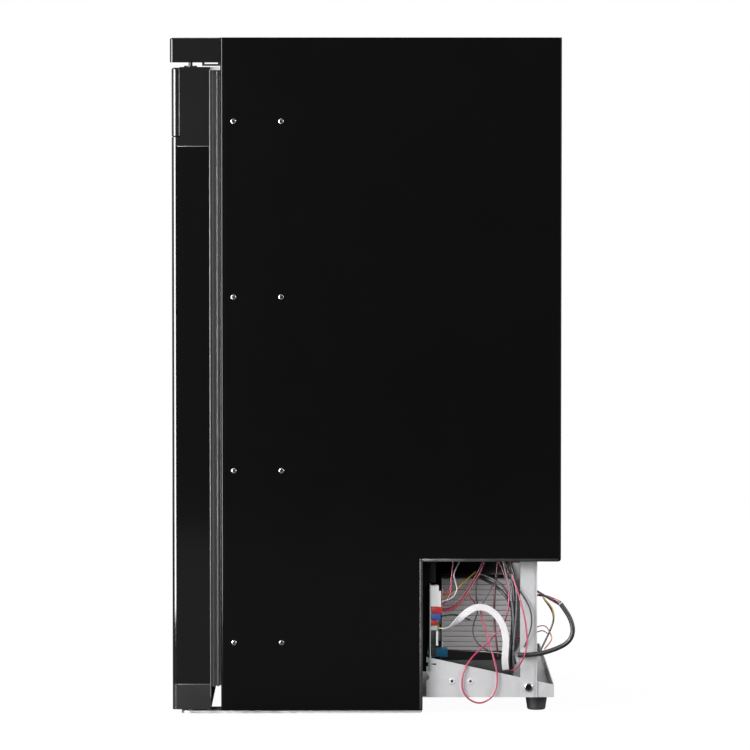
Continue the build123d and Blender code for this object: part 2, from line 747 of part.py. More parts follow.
def evaporator_fan_blade():
    fx, fy, fz = cold_fan_centre()
    return Pos(fx, fy, fz + cold_fan_rise) * fan_rotor(cold_fan_d, 12.0, 30.0, 6)


def evaporator_fan_motor():
    fx, fy, fz = cold_fan_centre()
    z = fz + cold_fan_rise + cold_motor_gap
    motor = rod((fx, fy, z), (fx, fy, z + cold_motor_l), cold_motor_d)
    motor = fillet(motor.edges().sort_by(Axis.Z)[-1], 3)
    motor += rod((fx, fy, z - cold_fan_rise), (fx, fy, z), 4)
    leg_x = cold_fan_d / 2 + 12
    motor += block((-leg_x, leg_x), (fy - 7, fy + 7), (z + 10, z + 12))
    for side in (-leg_x, leg_x - 2):
        motor += block((side, side + 2), (fy - 7, fy + 7), (fz + evaporator_t, z + 12))
    return motor


def fan_rotor(diameter, depth, hub_d, blades):
    """Axial fan blade about Z, centred on the origin, with a bored hub."""
    hub = Cylinder(hub_d / 2, depth)
    limit = Cylinder(diameter / 2, depth)
    rotor = hub
    root, tip = hub_d / 2 - 3, diameter / 2 + 4
    for i in range(blades):
        vane = Pos((root + tip) / 2, 0, 0) * Rot(28, 0, 0) * Box(tip - root, diameter * 0.3, 1.6)
        rotor += Rot(0, 0, i * 360 / blades) * (vane & limit)
    return rotor - Cylinder(2 + pin_clearance, depth * 2)


# ---------- machinery compartment ----------
def base_tray():
    x, t = tray_half_w, tray_t
    flange_front = tray_front + flange_setback
    tray = block((-x, x), (tray_front, tray_back), (tray_ground, tray_floor))
    tray += block((-x, x), (tray_front, tray_front + t), (tray_ground, tray_ground + tray_front_h))
    tray += block((-x, x), (tray_back - t, tray_back), (tray_ground, tray_ground + flange_back_h))
    flange = side_plate([(flange_front, tray_ground), (flange_front, tray_ground + flange_front_h),
                         (tray_back - 1, tray_ground + flange_back_h), (tray_back, tray_ground + flange_back_h),
                         (tray_back, tray_ground)], x - t, x)
    hole_z = tray_ground + flange_front_h / 2
    flange -= rod((x - 5, flange_front, hole_z), (x + 5, flange_front, hole_z), flange_hole_d)
    flange -= block((x - 5, x + 1), (board_front - fit, board_back + fit), (board_bottom - fit, height))
    tie_z = board_bottom + tie_slot_rise
    flange -= block((x - 5, x + 1), (tray_front, board_front - 2.5), (tie_z - 3, tie_z + 3))
    flange -= block((x - 5, x + 1), (board_back + 1.5, board_back + 8), (tie_z - 1, tie_z + 1))
    for y in rivet_rows:
        flange += rod((x, y, rivet_z), (x + rivet_rim_h, y, rivet_z), rivet_rim_d)
        flange -= rod((x - 5, y, rivet_z), (x + 5, y, rivet_z), rivet_bore)
    for piece in both_sides(flange):
        tray += piece
    return bolt_holes(tray)



def rear_posts():
    x1 = post_face
    x0 = x1 - post_t
    y0, y1 = post_front, post_front + post_w
    clear_z = tray_ground + flange_front_h - 20
    bead_y = y1 - post_bead_inset - post_bead_w
    post = block((x0, x1), (y0, y1), (tray_ground, ceiling - fit))
    post -= block((x1 - post_bead_depth, x1 + 1), (bead_y, bead_y + post_bead_w), (tray_ground - 1, ceiling))
    post += block((x1 - post_foot, x1), (y0, y0 + post_t), (clear_z, ceiling - fit))
    post += block((x1 - post_foot, x1), (y0, y1), (ceiling - fit - post_t, ceiling - fit))
    return both_sides(bolt_holes(post))


def rubber_feet():
    r0, r1, h = foot_bottom_d / 2, foot_top_d / 2, tray_ground
    profile = make_face(Polyline((0, 0), (r0, 0), (r1, h - 2), (r1, h), (0, h), close=True))
    foot = revolve(Plane.XZ * profile, Axis.Z)
    foot = fillet(foot.edges().sort_by(Axis.Z)[0], 3)
    foot -= Pos(0, 0, 4) * Cylinder(6, 8)
    return both_sides(Pos(foot_x, foot_y, 0) * foot)


def compressor_shell():
    r, h = shell_d / 2, shell_h
    profile = make_face(Polyline((0, 0), (r, 0), (r, h), (0, h), close=True))
    can = revolve(Plane.XZ * profile, Axis.Z)
    can = fillet(can.edges().sort_by(Axis.Z)[-1], shell_top_r)
    can = fillet(can.edges().filter_by(GeomType.CIRCLE).sort_by(Axis.Z)[0], shell_bottom_r)
    can += Pos(0, 0, h * shell_seam) * Cylinder(r + seam_proud, 5)
    plate = Pos(0, 0, foot_plate_t / 2) * Box(mount_span_x + 2 * foot_plate_rim, mount_span_y + 2 * foot_plate_rim,
                                              foot_plate_t)
    plate = fillet(plate.edges().filter_by(Axis.Z), 14)
    for x in (-1, 1):
        for y in (-1, 1):
            plate -= Pos(x * mount_span_x / 2, y * mount_span_y / 2, 0) * Cylinder(5, 20)
    return Pos(compressor_x, compressor_y, shell_bottom) * (can + plate)


def compressor_mounts():
    """Rubber grommets between the tray and the compressor's mounting plate, on studs."""
    group = []
    for sx in (-1, 1):
        for sy in (-1, 1):
            x = compressor_x + sx * mount_span_x / 2
            y = compressor_y + sy * mount_span_y / 2
            mount = rod((x, y, tray_floor), (x, y, shell_bottom), mount_d)
            mount -= ring((x, y, tray_floor + 4), (x, y, tray_floor + 7), mount_d + 2, mount_d - 6)
            mount += rod((x, y, shell_bottom), (x, y, shell_bottom + 10), 8)
            mount += rod((x, y, shell_bottom + foot_plate_t + fit), (x, y, shell_bottom + foot_plate_t + 2), 18)
            group.append(mount)
    return group


def compressor_terminal_box():
    x = compressor_x - shell_d / 2
    y, z = compressor_y, shell_bottom + shell_h * terminal_rise
    box = block((x - terminal_reach, x + 12), (y - terminal_w / 2, y + terminal_w / 2),
                (z - terminal_h / 2, z + terminal_h / 2))
    box = fillet(box.faces().sort_by(Axis.X)[0].edges(), 5)
    reach = rod((compressor_x, y, shell_bottom), (compressor_x, y, z + 60), shell_d + 2 * fit)
    seam_z = shell_bottom + shell_h * shell_seam
    seam = rod((compressor_x, y, seam_z - 4), (compressor_x, y, seam_z + 4), shell_d + 2 * seam_proud + 2 * fit)
    return box - reach - seam


def condenser_coil():
    x0, x1 = condenser_x, condenser_x + condenser_t
    y0, y1 = condenser_y - condenser_w / 2, condenser_y + condenser_w / 2
    z0, z1 = condenser_bottom, condenser_top
    tube_y = header_tube_d / 2
    core = block((x0 + 2, x1 - 2), (y0 + tube_y + 2, y1 - tube_y - 2), (z0 + 1, z1 - 1))
    for y in (y0 + tube_y, y1 - tube_y):
        core += rod(((x0 + x1) / 2, y, z0), ((x0 + x1) / 2, y, z1), header_tube_d)
    for z in (z0, z1 - 2):
        core += block((x0, x1), (y0 + tube_y, y1 - tube_y), (z, z + 2))
    z = z0 + tube_pitch
    while z < z1 - tube_pitch / 2:
        core += block((x0, x1), (y0 + tube_y, y1 - tube_y), (z - tube_h / 2, z + tube_h / 2))
        z += tube_pitch
    return core


def condenser_fan_shroud():
    y0, y1 = condenser_y - condenser_w / 2, condenser_y + condenser_w / 2
    t = shroud_t
    x1 = shroud_x
    opening = fan_d + 2 * fan_clearance
    plate = block((x1 - t, x1), (y0, y1), (tray_floor, condenser_top + 4))
    plate += block((x1 - t, x1 + condenser_t + 2), (y0, y1), (condenser_top + fit, condenser_top + fit + t))
    plate += block((x1 - t, x1 + condenser_t + 2), (y0, y1), (condenser_bottom - fit - t, condenser_bottom - fit))
    plate += block((x1 - shroud_foot, x1), (y0, y1), (tray_floor, tray_floor + t))
    plate += rod((x1 - shroud_depth, condenser_y, fan_z), (x1, condenser_y, fan_z), opening + 4)
    plate -= rod((x1 - 40, condenser_y, fan_z), (x1 + 0.5, condenser_y, fan_z), opening)
    pipe_x, pipe_y = condenser_x + condenser_t / 2, condenser_y + (condenser_w - header_tube_d) / 2
    return plate - rod((pipe_x, pipe_y, condenser_top - 1), (pipe_x, pipe_y, condenser_top + 5), pipe_d + 2.65)


def fan_plane_x():
    return shroud_x - fan_gap - fan_depth / 2


def condenser_fan_blade():
    return Pos(fan_plane_x(), condenser_y, fan_z) * Rot(0, 90, 0) * fan_rotor(fan_d, fan_depth, 30.0, 5)


def condenser_fan_motor():
    x1 = fan_plane_x() - fan_depth / 2 - 3
    opening = fan_d + 2 * fan_clearance
    motor = rod((x1 - fan_motor_l, condenser_y, fan_z), (x1, condenser_y, fan_z), fan_motor_d)
    motor = fillet(motor.edges().sort_by(Axis.X)[0], 4)
    stack = fan_motor_d / 2 + 4
    motor += block((x1 - 36, x1 - 12), (condenser_y - stack, condenser_y + stack), (fan_z - stack, fan_z + stack))
    motor += rod((x1, condenser_y, fan_z), (x1 + fan_depth, condenser_y, fan_z), 4)
    reach = opening / 2 + 2
    shroud_end = shroud_x - shroud_depth - fit
    for turn in (45, 135, 225, 315):
        y = condenser_y + reach * math.cos(math.radians(turn))
        z = fan_z + reach * math.sin(math.radians(turn))
        motor += rod((shroud_end - 2.5, condenser_y, fan_z), (shroud_end - 2.5, y, z), 5)
    return motor


def condensate_pan():
    """Black evaporating tray on the base, in front of the condenser."""
    x = (condenser_x + condenser_t + pan_gap, tray_half_w - tray_t - pan_gap - 1)
    y = (tray_front + pan_front, post_front - pan_back)
    z = (tray_floor, tray_floor + pan_h)
    t = pan_t
    pan = block(x, y, z)
    pan = fillet(pan.edges().filter_by(Axis.Z), 8)
    pan -= block((x[0] + t, x[1] - t), (y[0] + t, y[1] - t), (z[0] + t, z[1] + 1))
    return pan


def pipe(points, diameter, radius):
    path = FilletPolyline(*points, radius=radius)
    return sweep((path ^ 0) * Circle(diameter / 2), path=path)


def refrigerant_pipes():
    """Discharge, liquid line with its filter drier, capillary and suction lines."""
    cx = condenser_x + condenser_t / 2
    header_y = condenser_y + (condenser_w - header_tube_d) / 2
    rear_y = tray_back - pipe_inset
    shell_back = compressor_y + shell_d / 2
    gap = 0.05
    hot_x, hot_z, top_z = compressor_x + pipe_offset, shell_bottom + discharge_rise, ceiling - pipe_drop
    discharge = pipe([(hot_x, shell_back - 12, hot_z), (hot_x, rear_y, hot_z), (hot_x, rear_y, top_z),
                      (cx, rear_y, top_z), (cx, header_y, top_z), (cx, header_y, condenser_top + gap)],
                     pipe_d, pipe_bend)
    liquid_z, drier_z = condenser_bottom + 20, tray_floor + drier_rise
    liquid = pipe([(cx, header_y + header_tube_d / 2 + gap, liquid_z), (cx, rear_y, liquid_z),
                   (cx - pipe_offset, rear_y, liquid_z), (cx - 1.5 * pipe_offset, rear_y, drier_z),
                   (drier_end - 1, rear_y, drier_z)], pipe_d, pipe_bend)
    drier = rod((drier_start, rear_y, drier_z), (drier_end, rear_y, drier_z), drier_d)
    drier = fillet(drier.edges(), 6)
    fine_x, fine_z = capillary_inset - tray_half_w, drier_z + 2.1 * pipe_offset
    capillary = pipe([(drier_start + 1, rear_y, drier_z), (drier_start - 50, rear_y, drier_z),
                      (drier_start - 80, rear_y, drier_z + 60), (fine_x, rear_y, fine_z),
                      (fine_x, rear_y, ceiling)], capillary_d, capillary_bend)
    cold_x, cold_z = suction_inset - tray_half_w, shell_bottom + suction_rise
    end_x = compressor_x - pipe_offset
    suction = pipe([(cold_x, compressor_y + 30, ceiling), (cold_x, compressor_y + 30, cold_z),
                    (cold_x, compressor_y + 52, cold_z), (end_x, shell_back + 20, cold_z),
                    (end_x, shell_back - 12, cold_z)], suction_d, suction_bend)
    shell = compressor_shell()
    return [discharge - shell, liquid + drier, capillary, suction - shell]


def control_board():
    board = block((board_x - board_w, board_x), (board_front, board_back), (board_bottom, board_bottom + board_h))
    for x, z in board_holes():
        board -= rod((x, board_front - 1, z), (x, board_back + 1, z), 3.4)
    return board


def board_holes():
    return [(x, z) for x in (board_x - board_hole_inset, board_x - board_w + board_edge)
            for z in (board_bottom + board_edge, board_bottom + board_h - board_edge)]


def board_carrier():
    """Moulded tray that holds the board on four posts, up to the compartment's ceiling."""
    t = carrier_t
    x = (board_x - board_w - carrier_rim, tray_half_w - tray_t - 1)
    y = (bulkhead_back, board_front - carrier_gap)
    z = (board_bottom - t, ceiling - fit)
    carrier = block(x, y, z) - block((x[0] + t, x[1] - t), (y[0] + t, y[1] + 1), (z[0] + t, z[1] - t))
    hood_z = board_bottom + board_h + carrier_gap
    carrier += block(x, (y[1] - 1, y[1] + hood_depth), (z[1] - t, z[1]))
    for side in (x[0], x[1] - t):
        carrier += block((side, side + t), (y[1] - 1, y[1] + hood_depth), (hood_z, z[1]))
    for hole_x, hole_z in board_holes():
        carrier += rod((hole_x, bulkhead_back, hole_z), (hole_x, board_front, hole_z), 7)
        carrier += rod((hole_x, board_front, hole_z), (hole_x, board_back + 2, hole_z), 3)
        carrier += rod((hole_x, board_back, hole_z), (hole_x, board_back + 1.6, hole_z), 5)
    return carrier


# connectors on the board: depth from the board edge, reach off the board, and height range
board_parts = {
    "power_header": ((2, 15), (0, 11.9), (96.0, 127.5)),
    "power_plug": ((3, 14), (12.0, 15.4), (95.4, 119.0)),
    "red_connector": ((2, 14), (0, 16.2), (86.0, 95.3)),
    "blue_connector": ((2, 14), (0, 14.8), (76.0, 85.6)),
    "small_red": ((2, 10), (0, 9.4), (67.8, 75.2)),
    "small_red_plug": ((2.5, 9.5), (9.5, 16.8), (68.5, 75.6)),
    "ribbon_header": ((3, 13), (0, 9.8), (60.0, 67.0)),
    "relay": ((2, 17), (0, 9.0), (46.5, 59.6)),
    "relay_plug": ((3, 12), (9.1, 16.6), (43.6, 59.0)),
    "spade_terminals": ((4, 8), (0, 10.0), (37.5, 42.5)),
    "capacitor": ((4, 13), (0, 7.8), (21.0, 36.0)),
    "transformer": ((60, 100), (0, 14.0), (30.0, 75.0)),
    "film_capacitor": ((60, 90), (0, 26.5), (13.8, 25.0)),
    "chip": ((60, 88), (0, 4.0), (95.0, 105.0)),
}


def wiring_connectors():
    group = []
    for (x0, x1), (y0, y1), (z0, z1) in board_parts.values():
        group.append(block((board_x - x1, board_x - x0), (board_back + y0, board_back + y1),
                           (board_bottom + z0, board_bottom + z1)))
    return group


# ---------- wires ----------
# Each wire: diameter and its route, from one end to the other.
ribbon_cable = {
    "ribbon_cable": (4.0, [(279, 107.95, 126.5), (280, 117, 124.5), (282, 127, 128), (284, 138, 137.5),
                           (285, 150, 149.5), (286, 163, 157.5), (286, 176, 158.5), (286.5, 188.5, 153),
                           (287, 199.5, 142.5), (288, 207.5, 127), (289, 211, 108), (289, 209.5, 90),
                           (288.7, 208.6, 75), (285.5, 210.5, 63)]),
}
loop_wire = {
    "loop_wire": (2.6, [(280.5, 172, 153), (281, 177, 134), (283.5, 184, 111), (286, 189, 91), (289, 195, 71),
                        (290, 198, 52), (290, 196, 34), (290, 188, 20), (290, 171, 12), (290, 154, 19),
                        (290, 144.5, 33), (290, 144, 51), (289, 150, 69), (283, 161, 84), (278, 173, 94),
                        (276, 185, 105), (275, 197, 118), (274, 208, 132), (273, 214, 150), (272, 216, 171),
                        (270, 213, 192), (268, 207, 210), (265, 199, 229)]),
}
power_lead = {
    "power_lead": (7.0, [(290, 292.5, 163.5), (291.5, 301, 152), (293, 308, 139.5), (294, 311.5, 125),
                         (294, 308.5, 111.5), (294, 299.5, 102.5), (294, 287, 96.5), (294, 273, 91.5),
                         (294, 258.5, 88.3), (293.5, 243.5, 86.8), (291.7, 228.5, 86.5)]),
    "lead_black": (3.4, [(281, 252, 184.5), (284, 261.5, 179.5), (286.5, 270.5, 174), (288, 280, 168.6),
                         (289.9, 290.4, 162.7)]),
}
harness_sleeve = {
    "harness_sleeve": (9.0, [(276, 221, 166), (277, 223.5, 146), (276, 223, 125), (276, 220.5, 104),
                             (277, 218, 84), (276, 217.6, 60.5)]),
    "harness_grey": (3.6, [(271, 216, 229), (277, 221.5, 212), (281.5, 225.5, 192), (284, 227, 172),
                           (284.5, 226.5, 150), (284, 225, 128), (283.5, 222.5, 106), (284, 221.5, 86),
                           (282.5, 222.5, 68)]),
    "harness_black": (3.2, [(264, 207, 229), (270, 214.5, 214), (275, 220, 197), (277.5, 223, 181),
                            (277.5, 223.2, 166.7)]),
    "harness_lilac": (3.0, [(280, 206, 229), (281, 209, 214), (280, 213, 197), (277, 217.5, 181),
                            (274.5, 219.5, 166.7)]),
}
red_wires = {
    "red_lead_1": (2.4, [(274, 115, 154), (273.5, 125, 154), (272, 136, 160), (270, 145, 171), (268, 152.5, 183),
                         (266, 161, 196), (264, 170, 210), (262, 178, 229)]),
    "red_lead_2": (2.4, [(277, 114.8, 151.5), (277, 125.5, 151.5), (275.5, 137.5, 157.5), (273.5, 147, 168.5),
                         (271.5, 155, 180.5), (269.5, 163.5, 194), (267.5, 172.5, 208), (265.5, 180.5, 229)]),
    "red_branch": (2.2, [(266.2, 150, 178), (264, 158, 171), (262, 165, 162), (260, 169, 151)]),
    "red_drop": (3.2, [(258, 199, 229), (256.5, 197.5, 210), (256, 195, 188), (255, 194, 166), (253.5, 193.5, 144),
                       (254, 194.5, 122), (255, 197, 100), (254, 200, 80)]),
    "pink_wire": (2.4, [(290, 219, 208), (295, 226, 188), (298.5, 232, 168), (300.5, 237.5, 148), (301, 241, 127),
                        (301, 242, 107), (300, 239.5, 89), (297, 232, 73), (290, 224, 62.8), (281.2, 218.6, 62)]),
}
black_wires = {
    "black_riser": (2.2, [(257, 169, 206), (256.5, 166.5, 190), (257, 166, 174), (257.5, 168.5, 158),
                          (257, 168, 144), (256, 162.5, 131), (257, 161, 117), (259, 165.5, 104), (261, 174, 95),
                          (264, 185, 90)]),
    "black_sensor": (2.0, [(253.2, 196, 198), (252.3, 190, 184), (252, 182.5, 171), (251.5, 175.5, 158)]),
    "blue_lead": (2.2, [(277, 113.4, 143.5), (277, 124, 145.5), (275, 136, 146), (271, 147, 141), (267, 157, 137)]),
    "grey_arch": (3.0, [(252.5, 160, 204), (254, 172, 205.5), (258, 186, 201), (263, 200, 194), (266, 210, 184.5),
                        (267, 215.5, 172)]),
    "black_lower": (3.6, [(272.3, 216.2, 84), (264, 207.5, 85.5), (256, 192, 86.5), (248.5, 173, 87),
                          (244.5, 150, 86.7), (243, 124, 88)]),
    "black_arch": (4.5, [(243, 170, 200), (244, 184, 193.5), (247, 199, 184), (255, 211, 172.5),
                         (264, 216.3, 163), (270.8, 219.2, 156.8)]),
    "black_loop": (2.2, [(283, 213, 214), (287, 222, 196), (291, 233, 180), (293, 243, 165), (293.5, 249, 149),
                         (293.5, 249, 131), (292, 243.5, 113), (289.3, 238, 98)]),
}
thin_wires = {
    "lead_red": (3.4, [(277, 258, 175.5), (278, 267.5, 174.8), (281.5, 277, 172.3), (286, 285.8, 168.9),
                       (289.7, 293, 165.8)]),
    "yellow_wire": (1.8, [(284.9, 265.8, 173.2), (284.6, 271.2, 167.4), (284.8, 277.3, 161), (285.6, 282, 153),
                          (285.8, 283.5, 143)]),
    "rear_sleeve": (2.8, [(279.3, 267.3, 171.2), (280.4, 271.6, 165), (281.5, 277, 158), (282.2, 282, 147.5),
                          (283, 282.5, 137.5), (284, 278.5, 126), (285.5, 273, 114), (287.5, 267.5, 103),
                          (291, 262.3, 93.2)]),
    "arc_red": (1.6, [(283.2, 249, 123), (283.2, 257.5, 128), (284.3, 265.5, 130.5), (285.8, 272.3, 128.5),
                      (287, 275.5, 122.3)]),
    "arc_black": (1.6, [(279.5, 247, 113.5), (279.3, 255, 118.5), (279, 263, 122), (280, 270, 121),
                        (283, 274.4, 116.7)]),
    "orange_loop": (2.0, [(287.15, 275.8, 121.8), (288.3, 279, 115.5), (289.6, 279.3, 109.3), (290.8, 275.5, 103.6),
                          (292.3, 271.2, 99), (293.5, 268, 95.3)]),
    "plug_pink": (2.4, [(277, 113.8, 176), (276.5, 121.5, 178.5), (274.5, 127.5, 186), (272, 129, 197),
                        (269.5, 129.5, 213), (267, 132, 229)]),
    "plug_red": (2.4, [(280.5, 113.8, 161), (280.5, 121.5, 167), (279.5, 127.5, 177), (277.5, 128.8, 190),
                       (275, 128, 201.5)]),
    "plug_yellow": (2.0, [(273.5, 113.8, 171.5), (272.5, 124, 173), (270, 134, 180.5), (266, 145.5, 192),
                          (262, 156, 201), (259.5, 166, 209.5)]),
    "plug_white": (2.2, [(283, 113.8, 166), (283.5, 124, 168.5), (283.5, 133.5, 175), (283, 137.5, 185.5),
                         (281.5, 134.5, 195.5), (280, 131.5, 206), (277.5, 135.5, 217), (275, 143, 229)]),
}


def corner_radii(points):
    """One radius per corner: 0.45 of the shorter run over the tangent of half the turn."""
    radii = []
    for a, b, c in zip(points, points[1:], points[2:]):
        first, second = Vector(*b) - Vector(*a), Vector(*c) - Vector(*b)
        turn = math.radians(first.get_angle(second))
        radii.append(0.45 * min(first.length, second.length) / math.tan(turn / 2))
    return radii


def cord_tube(name, diameter, points):
    radii = corner_radii(points)
    path = FilletPolyline(*points, radius=radii)
    tube = sweep((path ^ 0) * Circle(diameter / 2), path=path)
    expected = math.pi * diameter ** 2 / 4 * path.length
    print(f"{name}: length {path.length:.1f}, volume ratio {tube.volume / expected:.4f}, "
          f"least radius {min(radii) / diameter:.1f} diameters, radii {[round(r, 1) for r in radii]}")
    return tube


def wire_group(wires):
    return [cord_tube(name, diameter, points) for name, (diameter, points) in wires.items()]


# ---------- output ----------
def main():
    os.makedirs("parts", exist_ok=True)
    right = side_panel()
    save("side_panel_right", bolt_holes(right))
    save("side_panel_left", mirror(right, about=Plane.YZ))
    save("side_panel_screws", side_panel_screws())
    save("top_panel", top_panel())
    save("back_panel", back_panel())
    save("floor_pan", floor_pan())
    save("compartment_bulkhead", bulkhead())
    save("inner_liner", inner_liner())
    save("foam_insulation", foam_insulation())
    save("header_cover", header_cover())
    save("display_panel", display_panel())
    for name, place in button_places().items():
        save(name, button(place))

    save("top_hinge_bracket", bolt_holes(top_hinge_bracket()))
    save("bottom_hinge_bracket", bottom_hinge_bracket())
    save("hinge_bushes", hinge_bushes())
    save("frame_bolts", frame_bolts())

    save("door_hinge_stile", stile(1))
    save("door_latch_stile", stile(-1))
    save("door_top_rail", door_top_rail())
    save("door_top_fascia", door_top_fascia())
    save("door_bottom_rail", door_bottom_rail())
    save("door_outer_glass", pane(glass_front, outer_glass_t))
    save("door_inner_glass", pane(glass_front + outer_glass_t + spacer_t, inner_glass_t))
    save("glass_spacer", glass_spacer())
    save("door_gasket", door_gasket())

    save("shelf_standards", shelf_standards())
    save("shelf_clips", shelf_clips())
    for name, level in shelf_heights.items():
        save(name, wire_shelf(level))
    save("light_housings", light_housings())
    save("light_lenses", light_lenses())
    save("evaporator_cover", evaporator_cover())
    save("evaporator_coil", evaporator_coil())
    save("evaporator_fan_motor", evaporator_fan_motor())
    save("evaporator_fan_blade", evaporator_fan_blade())

    save("base_tray", base_tray())
    save("rear_posts", rear_posts())
    save("rubber_feet", rubber_feet())
    save("compressor_shell", compressor_shell())
    save("compressor_mounts", compressor_mounts())
    save("compressor_terminal_box", compressor_terminal_box())
    save("condenser_coil", condenser_coil())
    save("condenser_fan_shroud", condenser_fan_shroud())
    save("condenser_fan_motor", condenser_fan_motor())
    save("condenser_fan_blade", condenser_fan_blade())
    save("condensate_pan", condensate_pan())
    save("refrigerant_pipes", refrigerant_pipes())
    save("control_board", control_board())
    save("board_carrier", board_carrier())
    save("wiring_connectors", wiring_connectors())

    save("ribbon_cable", wire_group(ribbon_cable))
    save("loop_wire", wire_group(loop_wire))
    save("power_lead", wire_group(power_lead))
    save("harness_sleeve", wire_group(harness_sleeve))
    save("red_wires", wire_group(red_wires))
    save("black_wires", wire_group(black_wires))
    save("thin_wires", wire_group(thin_wires))


main()
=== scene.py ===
import bpy, bmesh, math
from mathutils import Matrix, Vector


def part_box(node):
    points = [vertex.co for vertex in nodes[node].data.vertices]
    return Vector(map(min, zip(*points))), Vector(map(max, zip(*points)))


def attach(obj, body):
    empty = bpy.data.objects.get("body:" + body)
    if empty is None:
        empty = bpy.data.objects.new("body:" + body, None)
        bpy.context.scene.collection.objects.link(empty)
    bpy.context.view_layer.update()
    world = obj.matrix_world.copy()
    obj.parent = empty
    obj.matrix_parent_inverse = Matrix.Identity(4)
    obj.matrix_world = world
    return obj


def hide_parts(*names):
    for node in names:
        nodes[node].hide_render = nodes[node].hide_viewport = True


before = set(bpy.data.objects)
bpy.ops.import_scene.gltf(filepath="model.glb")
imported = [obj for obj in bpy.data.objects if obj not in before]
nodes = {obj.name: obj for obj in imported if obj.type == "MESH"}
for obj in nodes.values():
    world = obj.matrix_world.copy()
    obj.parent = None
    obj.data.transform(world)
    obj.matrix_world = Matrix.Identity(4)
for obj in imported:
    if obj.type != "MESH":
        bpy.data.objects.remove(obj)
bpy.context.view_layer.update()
print("frame loaded:", len(nodes), "nodes")

camera = {
    "place": (8.305, -0.033, 0.972), "aim": (0.305, 0.0135, 0.5089),
    "lens": 257.1, "sensor": 36.0, "far": 60,
}


def turnTo(place, aim):
    return (Vector(aim) - Vector(place)).to_track_quat("-Z", "Y").to_euler()


def placeCamera():
    bpy.ops.object.camera_add(location=camera["place"])
    shot = bpy.context.object
    shot.name = "shopCamera"
    shot.rotation_euler = turnTo(camera["place"], camera["aim"])
    shot.data.sensor_width = camera["sensor"]
    shot.data.lens = camera["lens"]
    shot.data.clip_end = camera["far"]
    bpy.context.scene.camera = shot


placeCamera()
print("camera placed")


# node groups that several finishes share; "Vector" is always an object's own coordinates
def newGroup(name, inputs, outputs):
    group = bpy.data.node_groups.new(name, "ShaderNodeTree")
    for way, sockets in (("INPUT", {"Vector": "Vector", **inputs}), ("OUTPUT", outputs)):
        for label, kind in sockets.items():
            group.interface.new_socket(label, in_out=way, socket_type="NodeSocket" + kind)
    return group, group.nodes.new("NodeGroupInput"), group.nodes.new("NodeGroupOutput")


def addNode(tree, kind, values=None, **settings):
    node = tree.nodes.new("ShaderNode" + kind)
    for key, value in settings.items():
        setattr(node, key, value)
    for key, value in (values or {}).items():
        node.inputs[key].default_value = value
    return node


def connect(tree, *runs):
    # each run: a node and its output, then the node and the input that it feeds
    for source, output, target, entry in runs:
        tree.links.new(source.outputs[output], target.inputs[entry])


noiseMiddle = {"From Min": 0.3, "From Max": 0.7}


def colourDriftGroup():
    # broad, faint changes of lightness over a surface
    group, start, end = newGroup(
        "colourDrift", {"Color": "Color", "Scale": "Float", "Amount": "Float"}, {"Color": "Color"})
    noise = addNode(group, "TexNoise", {"Detail": 4.0, "Roughness": 0.55})
    spread = addNode(group, "MapRange", {**noiseMiddle, "To Min": -1.0, "To Max": 1.0})
    swing = addNode(group, "Math", {2: 1.0}, operation="MULTIPLY_ADD")
    scaled = addNode(group, "VectorMath", operation="SCALE")
    connect(
        group,
        (start, "Vector", noise, "Vector"), (start, "Scale", noise, "Scale"), (noise, "Fac", spread, "Value"),
        (spread, "Result", swing, 0), (start, "Amount", swing, 1), (start, "Color", scaled, 0),
        (swing, 0, scaled, "Scale"), (scaled, 0, end, "Color"))
    return group


def roughPatchGroup():
    # patches where a surface is a little duller or brighter
    group, start, end = newGroup(
        "roughPatch", {"Scale": "Float", "Dull": "Float", "Bright": "Float"}, {"Roughness": "Float"})
    noise = addNode(group, "TexNoise", {"Detail": 6.0, "Roughness": 0.6})
    spread = addNode(group, "MapRange", noiseMiddle)
    connect(
        group,
        (start, "Vector", noise, "Vector"), (start, "Scale", noise, "Scale"), (noise, "Fac", spread, "Value"),
        (start, "Bright", spread, "To Min"), (start, "Dull", spread, "To Max"),
        (spread, "Result", end, "Roughness"))
    return group


def fineGrainGroup():
    # small bumps, from orange peel in paint to the grain of moulded plastic
    group, start, end = newGroup("fineGrain", {"Scale": "Float", "Stretch": "Vector"}, {"Height": "Float"})
    pull = addNode(group, "VectorMath", operation="MULTIPLY")
    noise = addNode(group, "TexNoise", {"Detail": 3.0, "Roughness": 0.5})
    connect(
        group,
        (start, "Vector", pull, 0), (start, "Stretch", pull, 1), (pull, 0, noise, "Vector"),
        (start, "Scale", noise, "Scale"), (noise, "Fac", end, "Height"))
    return group


def restingDustGroup():
    # a mask for the dust that lies on faces that look up
    group, start, end = newGroup("restingDust", {"Amount": "Float"}, {"Mask": "Float"})
    shape = addNode(group, "NewGeometry")
    split = addNode(group, "SeparateXYZ")
    upward = addNode(group, "MapRange", {"From Min": 0.6, "From Max": 0.98})
    noise = addNode(group, "TexNoise", {"Scale": 35.0, "Detail": 8.0, "Roughness": 0.7})
    patch = addNode(group, "MapRange", {"From Min": 0.35, "From Max": 0.75})
    both = addNode(group, "Math", operation="MULTIPLY")
    level = addNode(group, "Math", operation="MULTIPLY")
    connect(
        group,
        (shape, "True Normal", split, 0), (split, "Z", upward, "Value"), (start, "Vector", noise, "Vector"),
        (noise, "Fac", patch, "Value"), (upward, "Result", both, 0), (patch, "Result", both, 1),
        (both, 0, level, 0), (start, "Amount", level, 1), (level, 0, end, "Mask"))
    return group


